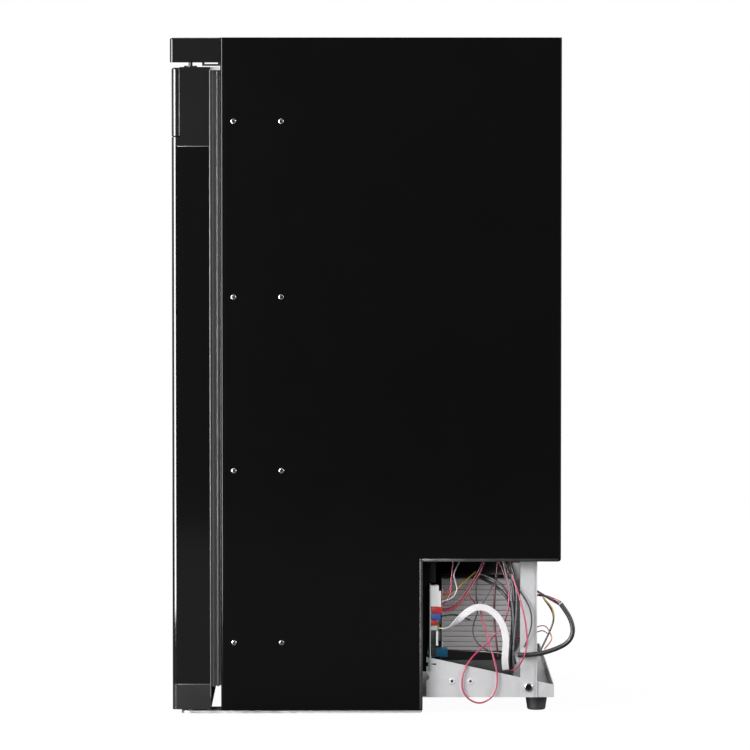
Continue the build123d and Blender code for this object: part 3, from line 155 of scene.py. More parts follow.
def zincSpangleGroup():
    # the crystal pattern of hot-dipped zinc
    group, start, end = newGroup(
        "zincSpangle",
        {"Scale": "Float", "Dark": "Color", "Light": "Color", "Dull": "Float", "Bright": "Float"},
        {"Color": "Color", "Roughness": "Float", "Height": "Float"})
    bend = addNode(group, "TexNoise", {"Scale": 30.0, "Detail": 3.0})
    shift = addNode(group, "VectorMath", {1: (0.012, 0.012, 0.012)}, operation="MULTIPLY_ADD")
    cells = addNode(group, "TexVoronoi", feature="F1")
    split = addNode(group, "SeparateColor")
    tint = addNode(group, "Mix", data_type="RGBA")
    gloss = addNode(group, "MapRange")
    connect(
        group,
        (start, "Vector", bend, "Vector"), (bend, "Color", shift, 0), (start, "Vector", shift, 2),
        (shift, 0, cells, "Vector"), (start, "Scale", cells, "Scale"), (cells, "Color", split, 0),
        (split, 0, tint, "Factor"), (start, "Dark", tint, "A"), (start, "Light", tint, "B"),
        (split, 1, gloss, "Value"), (start, "Bright", gloss, "To Min"), (start, "Dull", gloss, "To Max"),
        (tint, "Result", end, "Color"), (gloss, "Result", end, "Roughness"),
        (cells, "Distance", end, "Height"))
    return group


groups = {
    "drift": colourDriftGroup(),
    "patch": roughPatchGroup(),
    "grain": fineGrainGroup(),
    "dust": restingDustGroup(),
    "spangle": zincSpangleGroup(),
}
print("shader groups ready")


def coat(color, drift, dull, bright, grain, depth, dust, **more):
    # colour and its drift, duller and brighter roughness, the grain's scale and depth in metres, dust
    surface = {"color": color, "drift": drift, "dull": dull, "bright": bright}
    return {**surface, "grain": grain, "depth": depth, "dust": dust, **more}


def plastic(color, drift=0.06, dull=0.42, bright=0.32, dust=0.02):
    return coat(color, drift, dull, bright, 1200, 0.00002, dust)


def insulation(color, drift, dull, bright, dust=0.02):
    return coat(color, drift, dull, bright, 900, 0.00003, dust)


finishes = {
    "glossBlackPaint": coat((0.0044, 0.0044, 0.0047), 0.05, 0.14, 0.12, 260, 0.000004, 0.02, specular=0.14),
    "lidBlack": coat((0.005, 0.005, 0.0054), 0.04, 0.41, 0.39, 420, 0.000004, 0.06, specular=0.25),
    "frameBlack": coat((0.005, 0.005, 0.0054), 0.06, 0.085, 0.075, 500, 0.000001, 0.02),
    "capBlack": coat((0.024, 0.024, 0.025), 0.08, 0.22, 0.18, 1400, 0.00001, 0.05),
    "fasciaBlack": coat((0.0155, 0.0155, 0.016), 0.06, 0.1, 0.085, 1400, 0.000001, 0.03),
    "headerBlack": coat((0.012, 0.012, 0.0124), 0.06, 0.13, 0.11, 1400, 0.000001, 0.03, specular=0.3),
    "bayBlack": coat((0.0045, 0.0045, 0.005), 0.15, 0.45, 0.32, 420, 0.00002, 0.12),
    "carrierBlack": coat((0.0022, 0.0022, 0.0024), 0.1, 0.6, 0.5, 1300, 0.00002, 0.0, specular=0.1),
    "zincPlate": coat((0.5, 0.5, 0.51), 0.08, 0.42, 0.26, 700, 0.00001, 0.05, metallic=0.85),
    "screwSteel": coat((0.5, 0.5, 0.52), 0.06, 0.2, 0.12, 900, 0.00001, 0.0, metallic=1.0),
    "foamFill": coat((0.62, 0.48, 0.22), 0.18, 0.95, 0.85, 600, 0.0004, 0.0),
    "linerWhite": coat((0.74, 0.75, 0.76), 0.02, 0.36, 0.26, 300, 0.00003, 0.02),
    "spacerGrey": coat((0.1, 0.1, 0.105), 0.08, 0.45, 0.35, 800, 0.00002, 0.0, metallic=0.6),
    "gasketGrey": coat((0.26, 0.26, 0.265), 0.1, 0.5, 0.36, 900, 0.00003, 0.06),
    # a painted highlight: the lighter faces along the seal's lip
    "gasketLipHighlight": coat((0.52, 0.52, 0.53), 0.08, 0.42, 0.32, 900, 0.00002, 0.04),
    "wireWhite": coat((0.72, 0.72, 0.73), 0.03, 0.4, 0.28, 500, 0.00004, 0.03),
    "opalLens": coat((0.8, 0.8, 0.78), 0.03, 0.42, 0.34, 900, 0.00002, 0.0),
    "bracketBlack": coat((0.03, 0.03, 0.032), 0.1, 0.3, 0.2, 700, 0.00001, 0.03, metallic=0.7),
    "finStack": coat((0.78, 0.74, 0.76), 0.1, 0.55, 0.4, 520, 0.00012, 0.1,
        metallic=0.15, stretch=(0.2, 1.0, 0.02)),
    # finShade: a painted shade for the grooves between the condenser's fin rows
    "finShade": coat((0.075, 0.068, 0.072), 0.1, 0.65, 0.5, 520, 0.00004, 0.0),
    "coilAluminium": coat((0.46, 0.44, 0.41), 0.1, 0.5, 0.34, 900, 0.00002, 0.15, metallic=0.7),
    "copperPipe": coat((0.24, 0.125, 0.085), 0.22, 0.46, 0.28, 500, 0.00001, 0.05, metallic=0.9),
    "mouldedBlack": coat((0.013, 0.013, 0.014), 0.1, 0.56, 0.42, 1300, 0.00003, 0.08),
    "compressorEnamel": coat((0.01, 0.01, 0.011), 0.12, 0.38, 0.24, 180, 0.00005, 0.18),
    "footRubber": coat((0.04, 0.04, 0.05), 0.12, 0.7, 0.58, 1100, 0.00004, 0.05),
    "windowSmoke": coat((0.006, 0.006, 0.008), 0.03, 0.1, 0.06, 200, 0.00001, 0.0, coat=0.5),
    "keyGrey": coat((0.055, 0.055, 0.06), 0.05, 0.5, 0.42, 1500, 0.00002, 0.0),
    "boardGreen": coat((0.055, 0.17, 0.085), 0.1, 0.4, 0.28, 700, 0.00001, 0.06),
    "rivetBright": coat((0.8, 0.8, 0.82), 0.05, 0.4, 0.3, 900, 0.00001, 0.0, metallic=0.3),
    # a painted highlight: the lighter finish of the thin strips on the door's bevelled edges
    "paintedEdgeHighlight": coat((0.19, 0.19, 0.195), 0.15, 0.4, 0.3, 700, 0.00001, 0.0),
    # a painted highlight: the lighter strip along the rounded fold round the panel's notch
    "notchFoldHighlight": coat((0.05, 0.05, 0.053), 0.5, 0.5, 0.3, 420, 0.00003, 0.0, metallic=0.5),
    "nylonCream": coat((0.62, 0.6, 0.53), 0.05, 0.48, 0.38, 900, 0.00002, 0.0),
    "plugWhite": plastic((0.97, 0.97, 0.96), drift=0.05),
    "plugRed": plastic((0.62, 0.018, 0.016)),
    "plugBlue": plastic((0.05, 0.105, 0.42)),
    "terminalBlue": plastic((0.03, 0.27, 0.55)),
    "plugTeal": plastic((0.62, 0.7, 0.69)),
    "plugBlack": plastic((0.012, 0.013, 0.014), dull=0.46, bright=0.34, dust=0.03),
    "relayGreen": plastic((0.006, 0.014, 0.011), dull=0.44, bright=0.34, dust=0.03),
    "tinnedPin": coat((0.58, 0.57, 0.54), 0.06, 0.36, 0.22, 900, 0.00001, 0.0, metallic=0.95),
    "ribbonWhite": insulation((0.96, 0.94, 0.96), 0.05, 0.5, 0.38),
    "pinkWire": insulation((0.54, 0.045, 0.115), 0.12, 0.42, 0.28),
    "redWire": insulation((0.36, 0.02, 0.06), 0.1, 0.42, 0.28),
    "darkRedWire": insulation((0.155, 0.012, 0.028), 0.14, 0.46, 0.32),
    "yellowWire": insulation((0.68, 0.45, 0.06), 0.08, 0.42, 0.3),
    "orangeWire": insulation((0.42, 0.12, 0.045), 0.08, 0.42, 0.3),
    "lilacWire": insulation((0.52, 0.46, 0.54), 0.08, 0.46, 0.34),
    "greyWire": insulation((0.06, 0.062, 0.08), 0.12, 0.48, 0.34),
    "blackWire": insulation((0.014, 0.014, 0.016), 0.12, 0.46, 0.3, dust=0.03),
    "blackSleeve": coat((0.011, 0.011, 0.013), 0.14, 0.52, 0.36, 700, 0.00006, 0.05),
}
dustTint = (0.34, 0.33, 0.31, 1.0)
patternScale = {"drift": 9.0, "gloss": 24.0, "glassDrift": 3.0, "glassSmear": 7.0}
materials = {}


def newSurface(name):
    material = bpy.data.materials.new(name)
    material.use_nodes = True
    materials[name] = material
    tree = material.node_tree
    return tree, tree.nodes["Principled BSDF"], addNode(tree, "TexCoord")


def useGroup(tree, label, group, where, values):
    node = addNode(tree, "Group", values, node_tree=group, label=label)
    connect(tree, (where, "Object", node, "Vector"))
    return node


def addBump(tree, shader, relief, depth):
    bump = addNode(tree, "Bump", {"Strength": 1.0, "Distance": depth})
    connect(tree, (relief, "Height", bump, "Height"), (bump, "Normal", shader, "Normal"))


def layDust(tree, where, coloured, amount):
    dust = useGroup(tree, "dust", groups["dust"], where, {"Amount": amount})
    blend = addNode(tree, "Mix", data_type="RGBA")
    blend.inputs["B"].default_value = dustTint
    connect(tree, (dust, "Mask", blend, "Factor"), (coloured, "Color", blend, "A"))
    return blend


def coatSurface(name, finish):
    # the usual finish: drifting colour, patchy gloss, fine grain and a little dust
    tree, shader, where = newSurface(name)
    drift = useGroup(tree, "colour", groups["drift"], where, {
        "Color": (*finish["color"], 1.0), "Amount": finish["drift"], "Scale": patternScale["drift"]})
    patch = useGroup(tree, "gloss", groups["patch"], where, {
        "Dull": finish["dull"], "Bright": finish["bright"], "Scale": patternScale["gloss"]})
    grain = useGroup(tree, "grain", groups["grain"], where, {
        "Scale": finish["grain"], "Stretch": finish.get("stretch", (1.0, 1.0, 1.0))})
    addBump(tree, shader, grain, finish["depth"])
    connect(tree, (patch, "Roughness", shader, "Roughness"))
    if finish["dust"]:
        connect(tree, (layDust(tree, where, drift, finish["dust"]), "Result", shader, "Base Color"))
    else:
        connect(tree, (drift, "Color", shader, "Base Color"))
    shader.inputs["Coat Roughness"].default_value = 0.08
    for entry, key in (("Metallic", "metallic"), ("Specular IOR Level", "specular"), ("Coat Weight", "coat")):
        if key in finish:
            shader.inputs[entry].default_value = finish[key]


galvanised = {
    "spangle": {
        "Scale": 170.0, "Dark": (0.575, 0.578, 0.59, 1), "Light": (0.60, 0.603, 0.615, 1),
        "Dull": 0.50, "Bright": 0.46},
    "depth": 0.00002, "metallic": 0.25, "dust": 0.08,
}


def coatZinc(name, sheet):
    tree, shader, where = newSurface(name)
    spangle = useGroup(tree, "spangle", groups["spangle"], where, sheet["spangle"])
    dusty = layDust(tree, where, spangle, sheet["dust"])
    addBump(tree, shader, spangle, sheet["depth"])
    connect(tree, (dusty, "Result", shader, "Base Color"), (spangle, "Roughness", shader, "Roughness"))
    shader.inputs["Metallic"].default_value = sheet["metallic"]


pane = {"tint": (0.975, 0.992, 0.985, 1), "drift": 0.01, "smear": 0.014, "clean": 0.008}


def coatGlass(name, look):
    tree, shader, where = newSurface(name)
    drift = useGroup(tree, "tint", groups["drift"], where, {
        "Color": look["tint"], "Amount": look["drift"], "Scale": patternScale["glassDrift"]})
    patch = useGroup(tree, "smears", groups["patch"], where, {
        "Dull": look["smear"], "Bright": look["clean"], "Scale": patternScale["glassSmear"]})
    connect(tree, (drift, "Color", shader, "Base Color"), (patch, "Roughness", shader, "Roughness"))
    shader.inputs["Transmission Weight"].default_value = 1.0


boardEdge = {"color": (0.58, 0.66, 0.60, 1), "sharp": 0.7}


def paleEdges(material, edge):
    # the cut edges of a laminate are paler than its faces
    tree = material.node_tree
    shader = tree.nodes["Principled BSDF"]
    shape = addNode(tree, "NewGeometry")
    facing = addNode(tree, "SeparateXYZ")
    size = addNode(tree, "Math", operation="ABSOLUTE")
    cut = addNode(tree, "Math", {1: edge["sharp"]}, operation="LESS_THAN")
    blend = addNode(tree, "Mix", data_type="RGBA")
    blend.inputs["B"].default_value = edge["color"]
    tree.links.new(shader.inputs["Base Color"].links[0].from_socket, blend.inputs["A"])
    connect(
        tree,
        (shape, "True Normal", facing, 0), (facing, "Y", size, 0), (size, 0, cut, 0),
        (cut, 0, blend, "Factor"), (blend, "Result", shader, "Base Color"))


for name, finish in finishes.items():
    coatSurface(name, finish)
paleEdges(materials["boardGreen"], boardEdge)
coatZinc("galvanisedSheet", galvanised)
coatGlass("floatGlass", pane)
print("finishes made:", len(materials))


def newWire(standsFor, finish, diameter, length, *route):
    return {"standsFor": standsFor, "finish": finish, "diameter": diameter, "length": length, "route": route}


# each wire's node and finish, its true diameter and length, and its route from end to end, in metres
wiring = {
    "ribbonCable": newWire("ribbon_cable", "ribbonWhite", 0.004, 0.19,
        (0.279, 0.10795, 0.1265), (0.28, 0.117, 0.1245), (0.282, 0.127, 0.128), (0.284, 0.138, 0.1375),
        (0.285, 0.15, 0.1495), (0.286, 0.163, 0.1575), (0.286, 0.176, 0.1585), (0.2865, 0.1885, 0.153),
        (0.287, 0.1995, 0.1425), (0.288, 0.2075, 0.127), (0.289, 0.211, 0.108), (0.289, 0.2095, 0.09),
        (0.2887, 0.2086, 0.075), (0.2855, 0.2105, 0.063)),
    "loopWire": newWire("loop_wire", "pinkWire", 0.0026, 0.416,
        (0.2805, 0.172, 0.153), (0.281, 0.177, 0.134), (0.2835, 0.184, 0.111), (0.286, 0.189, 0.091),
        (0.289, 0.195, 0.071), (0.29, 0.198, 0.052), (0.29, 0.196, 0.034), (0.29, 0.188, 0.02),
        (0.29, 0.171, 0.012), (0.29, 0.154, 0.019), (0.29, 0.1445, 0.033), (0.29, 0.144, 0.051),
        (0.289, 0.15, 0.069), (0.283, 0.161, 0.084), (0.278, 0.173, 0.094), (0.276, 0.185, 0.105),
        (0.275, 0.197, 0.118), (0.274, 0.208, 0.132), (0.273, 0.214, 0.15), (0.272, 0.216, 0.171),
        (0.27, 0.213, 0.192), (0.268, 0.207, 0.21), (0.265, 0.199, 0.229)),
    "powerLead": newWire("power_lead", "blackSleeve", 0.007, 0.1433,
        (0.29, 0.2925, 0.1635), (0.2915, 0.301, 0.152), (0.293, 0.308, 0.1395), (0.294, 0.3115, 0.125),
        (0.294, 0.3085, 0.1115), (0.294, 0.2995, 0.1025), (0.294, 0.287, 0.0965), (0.294, 0.273, 0.0915),
        (0.294, 0.2585, 0.0883), (0.2935, 0.2435, 0.0868), (0.2917, 0.2285, 0.0865)),
    "leadBlack": newWire("power_lead", "blackWire", 0.0034, 0.0451,
        (0.281, 0.252, 0.1845), (0.284, 0.2615, 0.1795), (0.2865, 0.2705, 0.174), (0.288, 0.28, 0.1686),
        (0.2899, 0.2904, 0.1627)),
    "harnessSleeve": newWire("harness_sleeve", "blackSleeve", 0.009, 0.106,
        (0.276, 0.221, 0.166), (0.277, 0.2235, 0.146), (0.276, 0.223, 0.125), (0.276, 0.2205, 0.104),
        (0.277, 0.218, 0.084), (0.276, 0.2176, 0.0605)),
    "harnessGrey": newWire("harness_sleeve", "greyWire", 0.0036, 0.1641,
        (0.271, 0.216, 0.229), (0.277, 0.2215, 0.212), (0.2815, 0.2255, 0.192), (0.284, 0.227, 0.172),
        (0.2845, 0.2265, 0.15), (0.284, 0.225, 0.128), (0.2835, 0.2225, 0.106), (0.284, 0.2215, 0.086),
        (0.2825, 0.2225, 0.068)),
    "harnessBlack": newWire("harness_sleeve", "blackWire", 0.0032, 0.067,
        (0.264, 0.207, 0.229), (0.27, 0.2145, 0.214), (0.275, 0.22, 0.197), (0.2775, 0.223, 0.181),
        (0.2775, 0.2232, 0.1667)),
    "harnessLilac": newWire("harness_sleeve", "lilacWire", 0.003, 0.0643,
        (0.28, 0.206, 0.229), (0.281, 0.209, 0.214), (0.28, 0.213, 0.197), (0.277, 0.2175, 0.181),
        (0.2745, 0.2195, 0.1667)),
    "redLead1": newWire("red_wires", "redWire", 0.0024, 0.104,
        (0.274, 0.115, 0.154), (0.2735, 0.125, 0.154), (0.272, 0.136, 0.16), (0.27, 0.145, 0.171),
        (0.268, 0.1525, 0.183), (0.266, 0.161, 0.196), (0.264, 0.17, 0.21), (0.262, 0.178, 0.229)),
    "redLead2": newWire("red_wires", "redWire", 0.0024, 0.1084,
        (0.277, 0.1148, 0.1515), (0.277, 0.1255, 0.1515), (0.2755, 0.1375, 0.1575), (0.2735, 0.147, 0.1685),
        (0.2715, 0.155, 0.1805), (0.2695, 0.1635, 0.194), (0.2675, 0.1725, 0.208), (0.2655, 0.1805, 0.229)),
    "redBranch": newWire("red_wires", "redWire", 0.0022, 0.0342,
        (0.2662, 0.15, 0.178), (0.264, 0.158, 0.171), (0.262, 0.165, 0.162), (0.26, 0.169, 0.151)),
    "redDrop": newWire("red_wires", "darkRedWire", 0.0032, 0.1497,
        (0.258, 0.199, 0.229), (0.2565, 0.1975, 0.21), (0.256, 0.195, 0.188), (0.255, 0.194, 0.166),
        (0.2535, 0.1935, 0.144), (0.254, 0.1945, 0.122), (0.255, 0.197, 0.1), (0.254, 0.2, 0.08)),
    "pinkWire": newWire("red_wires", "pinkWire", 0.0024, 0.1655,
        (0.29, 0.219, 0.208), (0.295, 0.226, 0.188), (0.2985, 0.232, 0.168), (0.3005, 0.2375, 0.148),
        (0.301, 0.241, 0.127), (0.301, 0.242, 0.107), (0.3, 0.2395, 0.089), (0.297, 0.232, 0.073),
        (0.29, 0.224, 0.0628), (0.2812, 0.2186, 0.062)),
    "blackRiser": newWire("black_wires", "blackWire", 0.0022, 0.1287,
        (0.257, 0.169, 0.206), (0.2565, 0.1665, 0.19), (0.257, 0.166, 0.174), (0.2575, 0.1685, 0.158),
        (0.257, 0.168, 0.144), (0.256, 0.1625, 0.131), (0.257, 0.161, 0.117), (0.259, 0.1655, 0.104),
        (0.261, 0.174, 0.095), (0.264, 0.185, 0.09)),
    "blackSensor": newWire("black_wires", "blackWire", 0.002, 0.045,
        (0.2532, 0.196, 0.198), (0.2523, 0.19, 0.184), (0.252, 0.1825, 0.171), (0.2515, 0.1755, 0.158)),
    "blueLead": newWire("black_wires", "blackWire", 0.0022, 0.0469,
        (0.277, 0.1134, 0.1435), (0.277, 0.124, 0.1455), (0.275, 0.136, 0.146), (0.271, 0.147, 0.141),
        (0.267, 0.157, 0.137)),
    "greyArch": newWire("black_wires", "greyWire", 0.003, 0.0712,
        (0.2525, 0.16, 0.204), (0.254, 0.172, 0.2055), (0.258, 0.186, 0.201), (0.263, 0.2, 0.194),
        (0.266, 0.21, 0.1845), (0.267, 0.2155, 0.172)),
    "blackLower": newWire("black_wires", "blackWire", 0.0036, 0.0993,
        (0.2723, 0.2162, 0.084), (0.264, 0.2075, 0.0855), (0.256, 0.192, 0.0865), (0.2485, 0.173, 0.087),
        (0.2445, 0.15, 0.0867), (0.243, 0.124, 0.088)),
    "blackArch": newWire("black_wires", "blackSleeve", 0.0045, 0.0754,
        (0.243, 0.17, 0.2), (0.244, 0.184, 0.1935), (0.247, 0.199, 0.184), (0.255, 0.211, 0.1725),
        (0.264, 0.2163, 0.163), (0.2708, 0.2192, 0.1568)),
    "blackLoop": newWire("black_wires", "blackWire", 0.0022, 0.1282,
        (0.283, 0.213, 0.214), (0.287, 0.222, 0.196), (0.291, 0.233, 0.18), (0.293, 0.243, 0.165),
        (0.2935, 0.249, 0.149), (0.2935, 0.249, 0.131), (0.292, 0.2435, 0.113), (0.2893, 0.238, 0.098)),
    "leadRed": newWire("thin_wires", "redWire", 0.0034, 0.039,
        (0.277, 0.258, 0.1755), (0.278, 0.2675, 0.1748), (0.2815, 0.277, 0.1723), (0.286, 0.2858, 0.1689),
        (0.2897, 0.293, 0.1658)),
    "yellowWire": newWire("thin_wires", "yellowWire", 0.0018, 0.0361,
        (0.2849, 0.2658, 0.1732), (0.2846, 0.2712, 0.1674), (0.2848, 0.2773, 0.161), (0.2856, 0.282, 0.153),
        (0.2858, 0.2835, 0.143)),
    "rearSleeve": newWire("thin_wires", "blackSleeve", 0.0028, 0.0875,
        (0.2793, 0.2673, 0.1712), (0.2804, 0.2716, 0.165), (0.2815, 0.277, 0.158), (0.2822, 0.282, 0.1475),
        (0.283, 0.2825, 0.1375), (0.284, 0.2785, 0.126), (0.2855, 0.273, 0.114), (0.2875, 0.2675, 0.103),
        (0.291, 0.2623, 0.0932)),
    "arcRed": newWire("thin_wires", "redWire", 0.0016, 0.0321,
        (0.2832, 0.249, 0.123), (0.2832, 0.2575, 0.128), (0.2843, 0.2655, 0.1305), (0.2858, 0.2723, 0.1285),
        (0.287, 0.2755, 0.1223)),
    "arcBlack": newWire("thin_wires", "blackWire", 0.0016, 0.0317,
        (0.2795, 0.247, 0.1135), (0.2793, 0.255, 0.1185), (0.279, 0.263, 0.122), (0.28, 0.27, 0.121),
        (0.283, 0.2744, 0.1167)),
    "orangeLoop": newWire("thin_wires", "orangeWire", 0.002, 0.0317,
        (0.28715, 0.2758, 0.1218), (0.2883, 0.279, 0.1155), (0.2896, 0.2793, 0.1093),
        (0.2908, 0.2755, 0.1036), (0.2923, 0.2712, 0.099), (0.2935, 0.268, 0.0953)),
    "plugPink": newWire("thin_wires", "pinkWire", 0.0024, 0.0614,
        (0.277, 0.1138, 0.176), (0.2765, 0.1215, 0.1785), (0.2745, 0.1275, 0.186), (0.272, 0.129, 0.197),
        (0.2695, 0.1295, 0.213), (0.267, 0.132, 0.229)),
    "plugRed": newWire("thin_wires", "redWire", 0.0024, 0.0462,
        (0.2805, 0.1138, 0.161), (0.2805, 0.1215, 0.167), (0.2795, 0.1275, 0.177), (0.2775, 0.1288, 0.19),
        (0.275, 0.128, 0.2015)),
    "plugYellow": newWire("thin_wires", "yellowWire", 0.002, 0.0674,
        (0.2735, 0.1138, 0.1715), (0.2725, 0.124, 0.173), (0.27, 0.134, 0.1805), (0.266, 0.1455, 0.192),
        (0.262, 0.156, 0.201), (0.2595, 0.166, 0.2095)),
    "plugWhite": newWire("thin_wires", "lilacWire", 0.0022, 0.0801,
        (0.283, 0.1138, 0.166), (0.2835, 0.124, 0.1685), (0.2835, 0.1335, 0.175), (0.283, 0.1375, 0.1855),
        (0.2815, 0.1345, 0.1955), (0.28, 0.1315, 0.206), (0.2775, 0.1355, 0.217), (0.275, 0.143, 0.229)),
}
curve = {"steps": 10, "roundness": 5, "order": 3}
ribbon = {
    "width": 0.0100, "strands": 10, "sides": 8, "strandSwell": 1.04, "turnFrom": 0.03, "turnLength": 0.30,
}


def routeCurve(name, route, bevel):
    data = bpy.data.curves.new(name, "CURVE")
    data.dimensions = "3D"
    data.resolution_u = curve["steps"]
    data.bevel_depth = bevel
    data.bevel_resolution = curve["roundness"]
    data.use_fill_caps = bevel > 0
    line = data.splines.new("NURBS")
    line.points.add(len(route) - 1)
    for point, place in zip(line.points, route):
        point.co = (*place, 1.0)
    line.order_u = curve["order"]
    line.use_endpoint_u = True
    piece = bpy.data.objects.new(name, data)
    bpy.context.scene.collection.objects.link(piece)
    return piece


def smoothPoints(route):
    # the points of the route's own smooth curve
    guide = routeCurve("guide", route, 0.0)
    mesh = bpy.data.meshes.new_from_object(guide)
    points = [vertex.co.copy() for vertex in mesh.vertices]
    bpy.data.meshes.remove(mesh)
    bpy.data.objects.remove(guide)
    return points


def ribbonFrames(points):
    # at each point, the way across the ribbon and out of it: edge on at its plug, broadside on its drop
    inward = Vector((1, 0, 0))
    last = len(points) - 1
    frames = []
    for index, point in enumerate(points):
        along = (points[min(index + 1, last)] - points[max(index - 1, 0)]).normalized()
        turn = min(1.0, max(0.0, (index / last - ribbon["turnFrom"]) / ribbon["turnLength"]))
        turn = turn * turn * (3 - 2 * turn)
        flat = inward.lerp(-along.cross(inward).normalized(), turn)
        across = (flat - along * flat.dot(along)).normalized()
        frames.append((point, across, along.cross(across).normalized()))
    return frames


def ribbonMesh(name, route):
    # a flat cable: round strands side by side
    points = smoothPoints(route)
    frames = ribbonFrames(points)
    radius = ribbon["width"] / ribbon["strands"] / 2
    sides = ribbon["sides"]
    angles = [2 * math.pi * side / sides for side in range(sides)]
    build = bmesh.new()
    for strand in range(ribbon["strands"]):
        offset = (strand + 0.5 - ribbon["strands"] / 2) * 2 * radius
        rings = []
        for point, across, lift in frames:
            rings.append([build.verts.new(
                point + across * (offset + ribbon["strandSwell"] * radius * math.cos(angle))
                + lift * radius * math.sin(angle)) for angle in angles])
        for first, second in zip(rings, rings[1:]):
            for side in range(sides):
                after = (side + 1) % sides
                build.faces.new((first[side], first[after], second[after], second[side]))
        build.faces.new(rings[0][::-1])
        build.faces.new(rings[-1])
    bmesh.ops.recalc_face_normals(build, faces=build.faces)
    mesh = bpy.data.meshes.new(name)
    build.to_mesh(mesh)
    build.free()
    for face in mesh.polygons:
        face.use_smooth = True
    piece = bpy.data.objects.new(name, mesh)
    bpy.context.scene.collection.objects.link(piece)
    return piece, points


def layWires():
    for name, wire in wiring.items():
        if name == "ribbonCable":
            piece, path = ribbonMesh(name, wire["route"])
            piece.data.materials.append(materials[wire["finish"]])
        else:
            piece = routeCurve(name, wire["route"], wire["diameter"] / 2)
            piece.data.materials.append(materials[wire["finish"]])
        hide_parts(wire["standsFor"])
        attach(piece, "cabinet")


layWires()
print("wiring laid:", len(wiring), "wires")

square = 0.9                                   # how nearly a face looks along an axis to be picked
sides = ((1, "Right"), (-1, "Left"))


# working by hand: start a block or a round, pick its faces or edges, shape them, finish it
def startBlock(name, low, high):
    bpy.ops.object.select_all(action="DESELECT")
    bpy.ops.mesh.primitive_cube_add(size=1, location=[(a + b) / 2 for a, b in zip(low, high)])
    bpy.context.object.scale = [b - a for a, b in zip(low, high)]
    return openPiece(name)


def startRound(name, start, end, radius, facets=32):
    bpy.ops.object.select_all(action="DESELECT")
    start, end = Vector(start), Vector(end)
    bpy.ops.mesh.primitive_cylinder_add(
        vertices=facets, radius=radius, depth=(end - start).length, location=(start + end) / 2,
        rotation=(end - start).to_track_quat("Z", "Y").to_euler())
    return openPiece(name)


def openPiece(name):
    piece = bpy.context.object
    piece.name = name
    bpy.ops.object.transform_apply(location=True, rotation=True, scale=True)
    bpy.ops.object.mode_set(mode="EDIT")
    return piece


def pickFaces(piece, test):
    bpy.ops.mesh.select_all(action="DESELECT")
    bpy.ops.mesh.select_mode(type="FACE")
    mesh = bmesh.from_edit_mesh(piece.data)
    for face in mesh.faces:
        face.select_set(bool(test(face.calc_center_median(), face.normal)))
    bmesh.update_edit_mesh(piece.data)


def pickEdges(piece, test):
    bpy.ops.mesh.select_all(action="DESELECT")
    bpy.ops.mesh.select_mode(type="EDGE")
    mesh = bmesh.from_edit_mesh(piece.data)
    for edge in mesh.edges:
        first, second = (vertex.co for vertex in edge.verts)
        edge.select_set(bool(test((first + second) / 2, (second - first).normalized())))
    bmesh.update_edit_mesh(piece.data)


def cutAcross(places, axis):
    # cuts everything at each place along one axis
    for place in places:
        point, normal = [0, 0, 0], [0, 0, 0]
        point[axis], normal[axis] = place, 1
        bpy.ops.mesh.select_all(action="SELECT")
        bpy.ops.mesh.bisect(plane_co=point, plane_no=normal)


def push(shift):
    bpy.ops.mesh.extrude_region_move(TRANSFORM_OT_translate={"value": shift})


def inset(rim, depth=0.0, each=False):
    bpy.ops.mesh.inset(thickness=rim, depth=depth, use_individual=each)


def colourPicked(piece, slot):
    mesh = bmesh.from_edit_mesh(piece.data)
    for face in mesh.faces:
        if face.select:
            face.material_index = slot
    bmesh.update_edit_mesh(piece.data)


def softenEdges(piece, width, segments):
    bevel = piece.modifiers.new("softEdges", "BEVEL")
    bevel.width = width
    bevel.segments = segments
    bevel.limit_method = "ANGLE"
    bevel.angle_limit = math.radians(40)
    bpy.ops.object.modifier_apply(modifier=bevel.name)


def finishPiece(piece, finishNames, standsFor, body="cabinet", soften=0.0, segments=2, smooth=35):
    bpy.ops.object.mode_set(mode="OBJECT")
    if soften:
        softenEdges(piece, soften, segments)
    bpy.ops.object.shade_smooth_by_angle(angle=math.radians(smooth))
    for finish in finishNames:
        piece.data.materials.append(materials[finish])
    if standsFor:
        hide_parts(standsFor)
    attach(piece, body)


def makeBar(name, low, high, pick, swage, finish, standsFor, **more):
    # a thin block whose picked faces have a rim and stand a little in or out
    bar = startBlock(name, low, high)
    pickFaces(bar, pick)
    inset(*swage, each=True)
    finishPiece(bar, [finish], standsFor, **more)


def spread(first, last, count):
    return [first + (last - first) * step / count for step in range(1, count)]


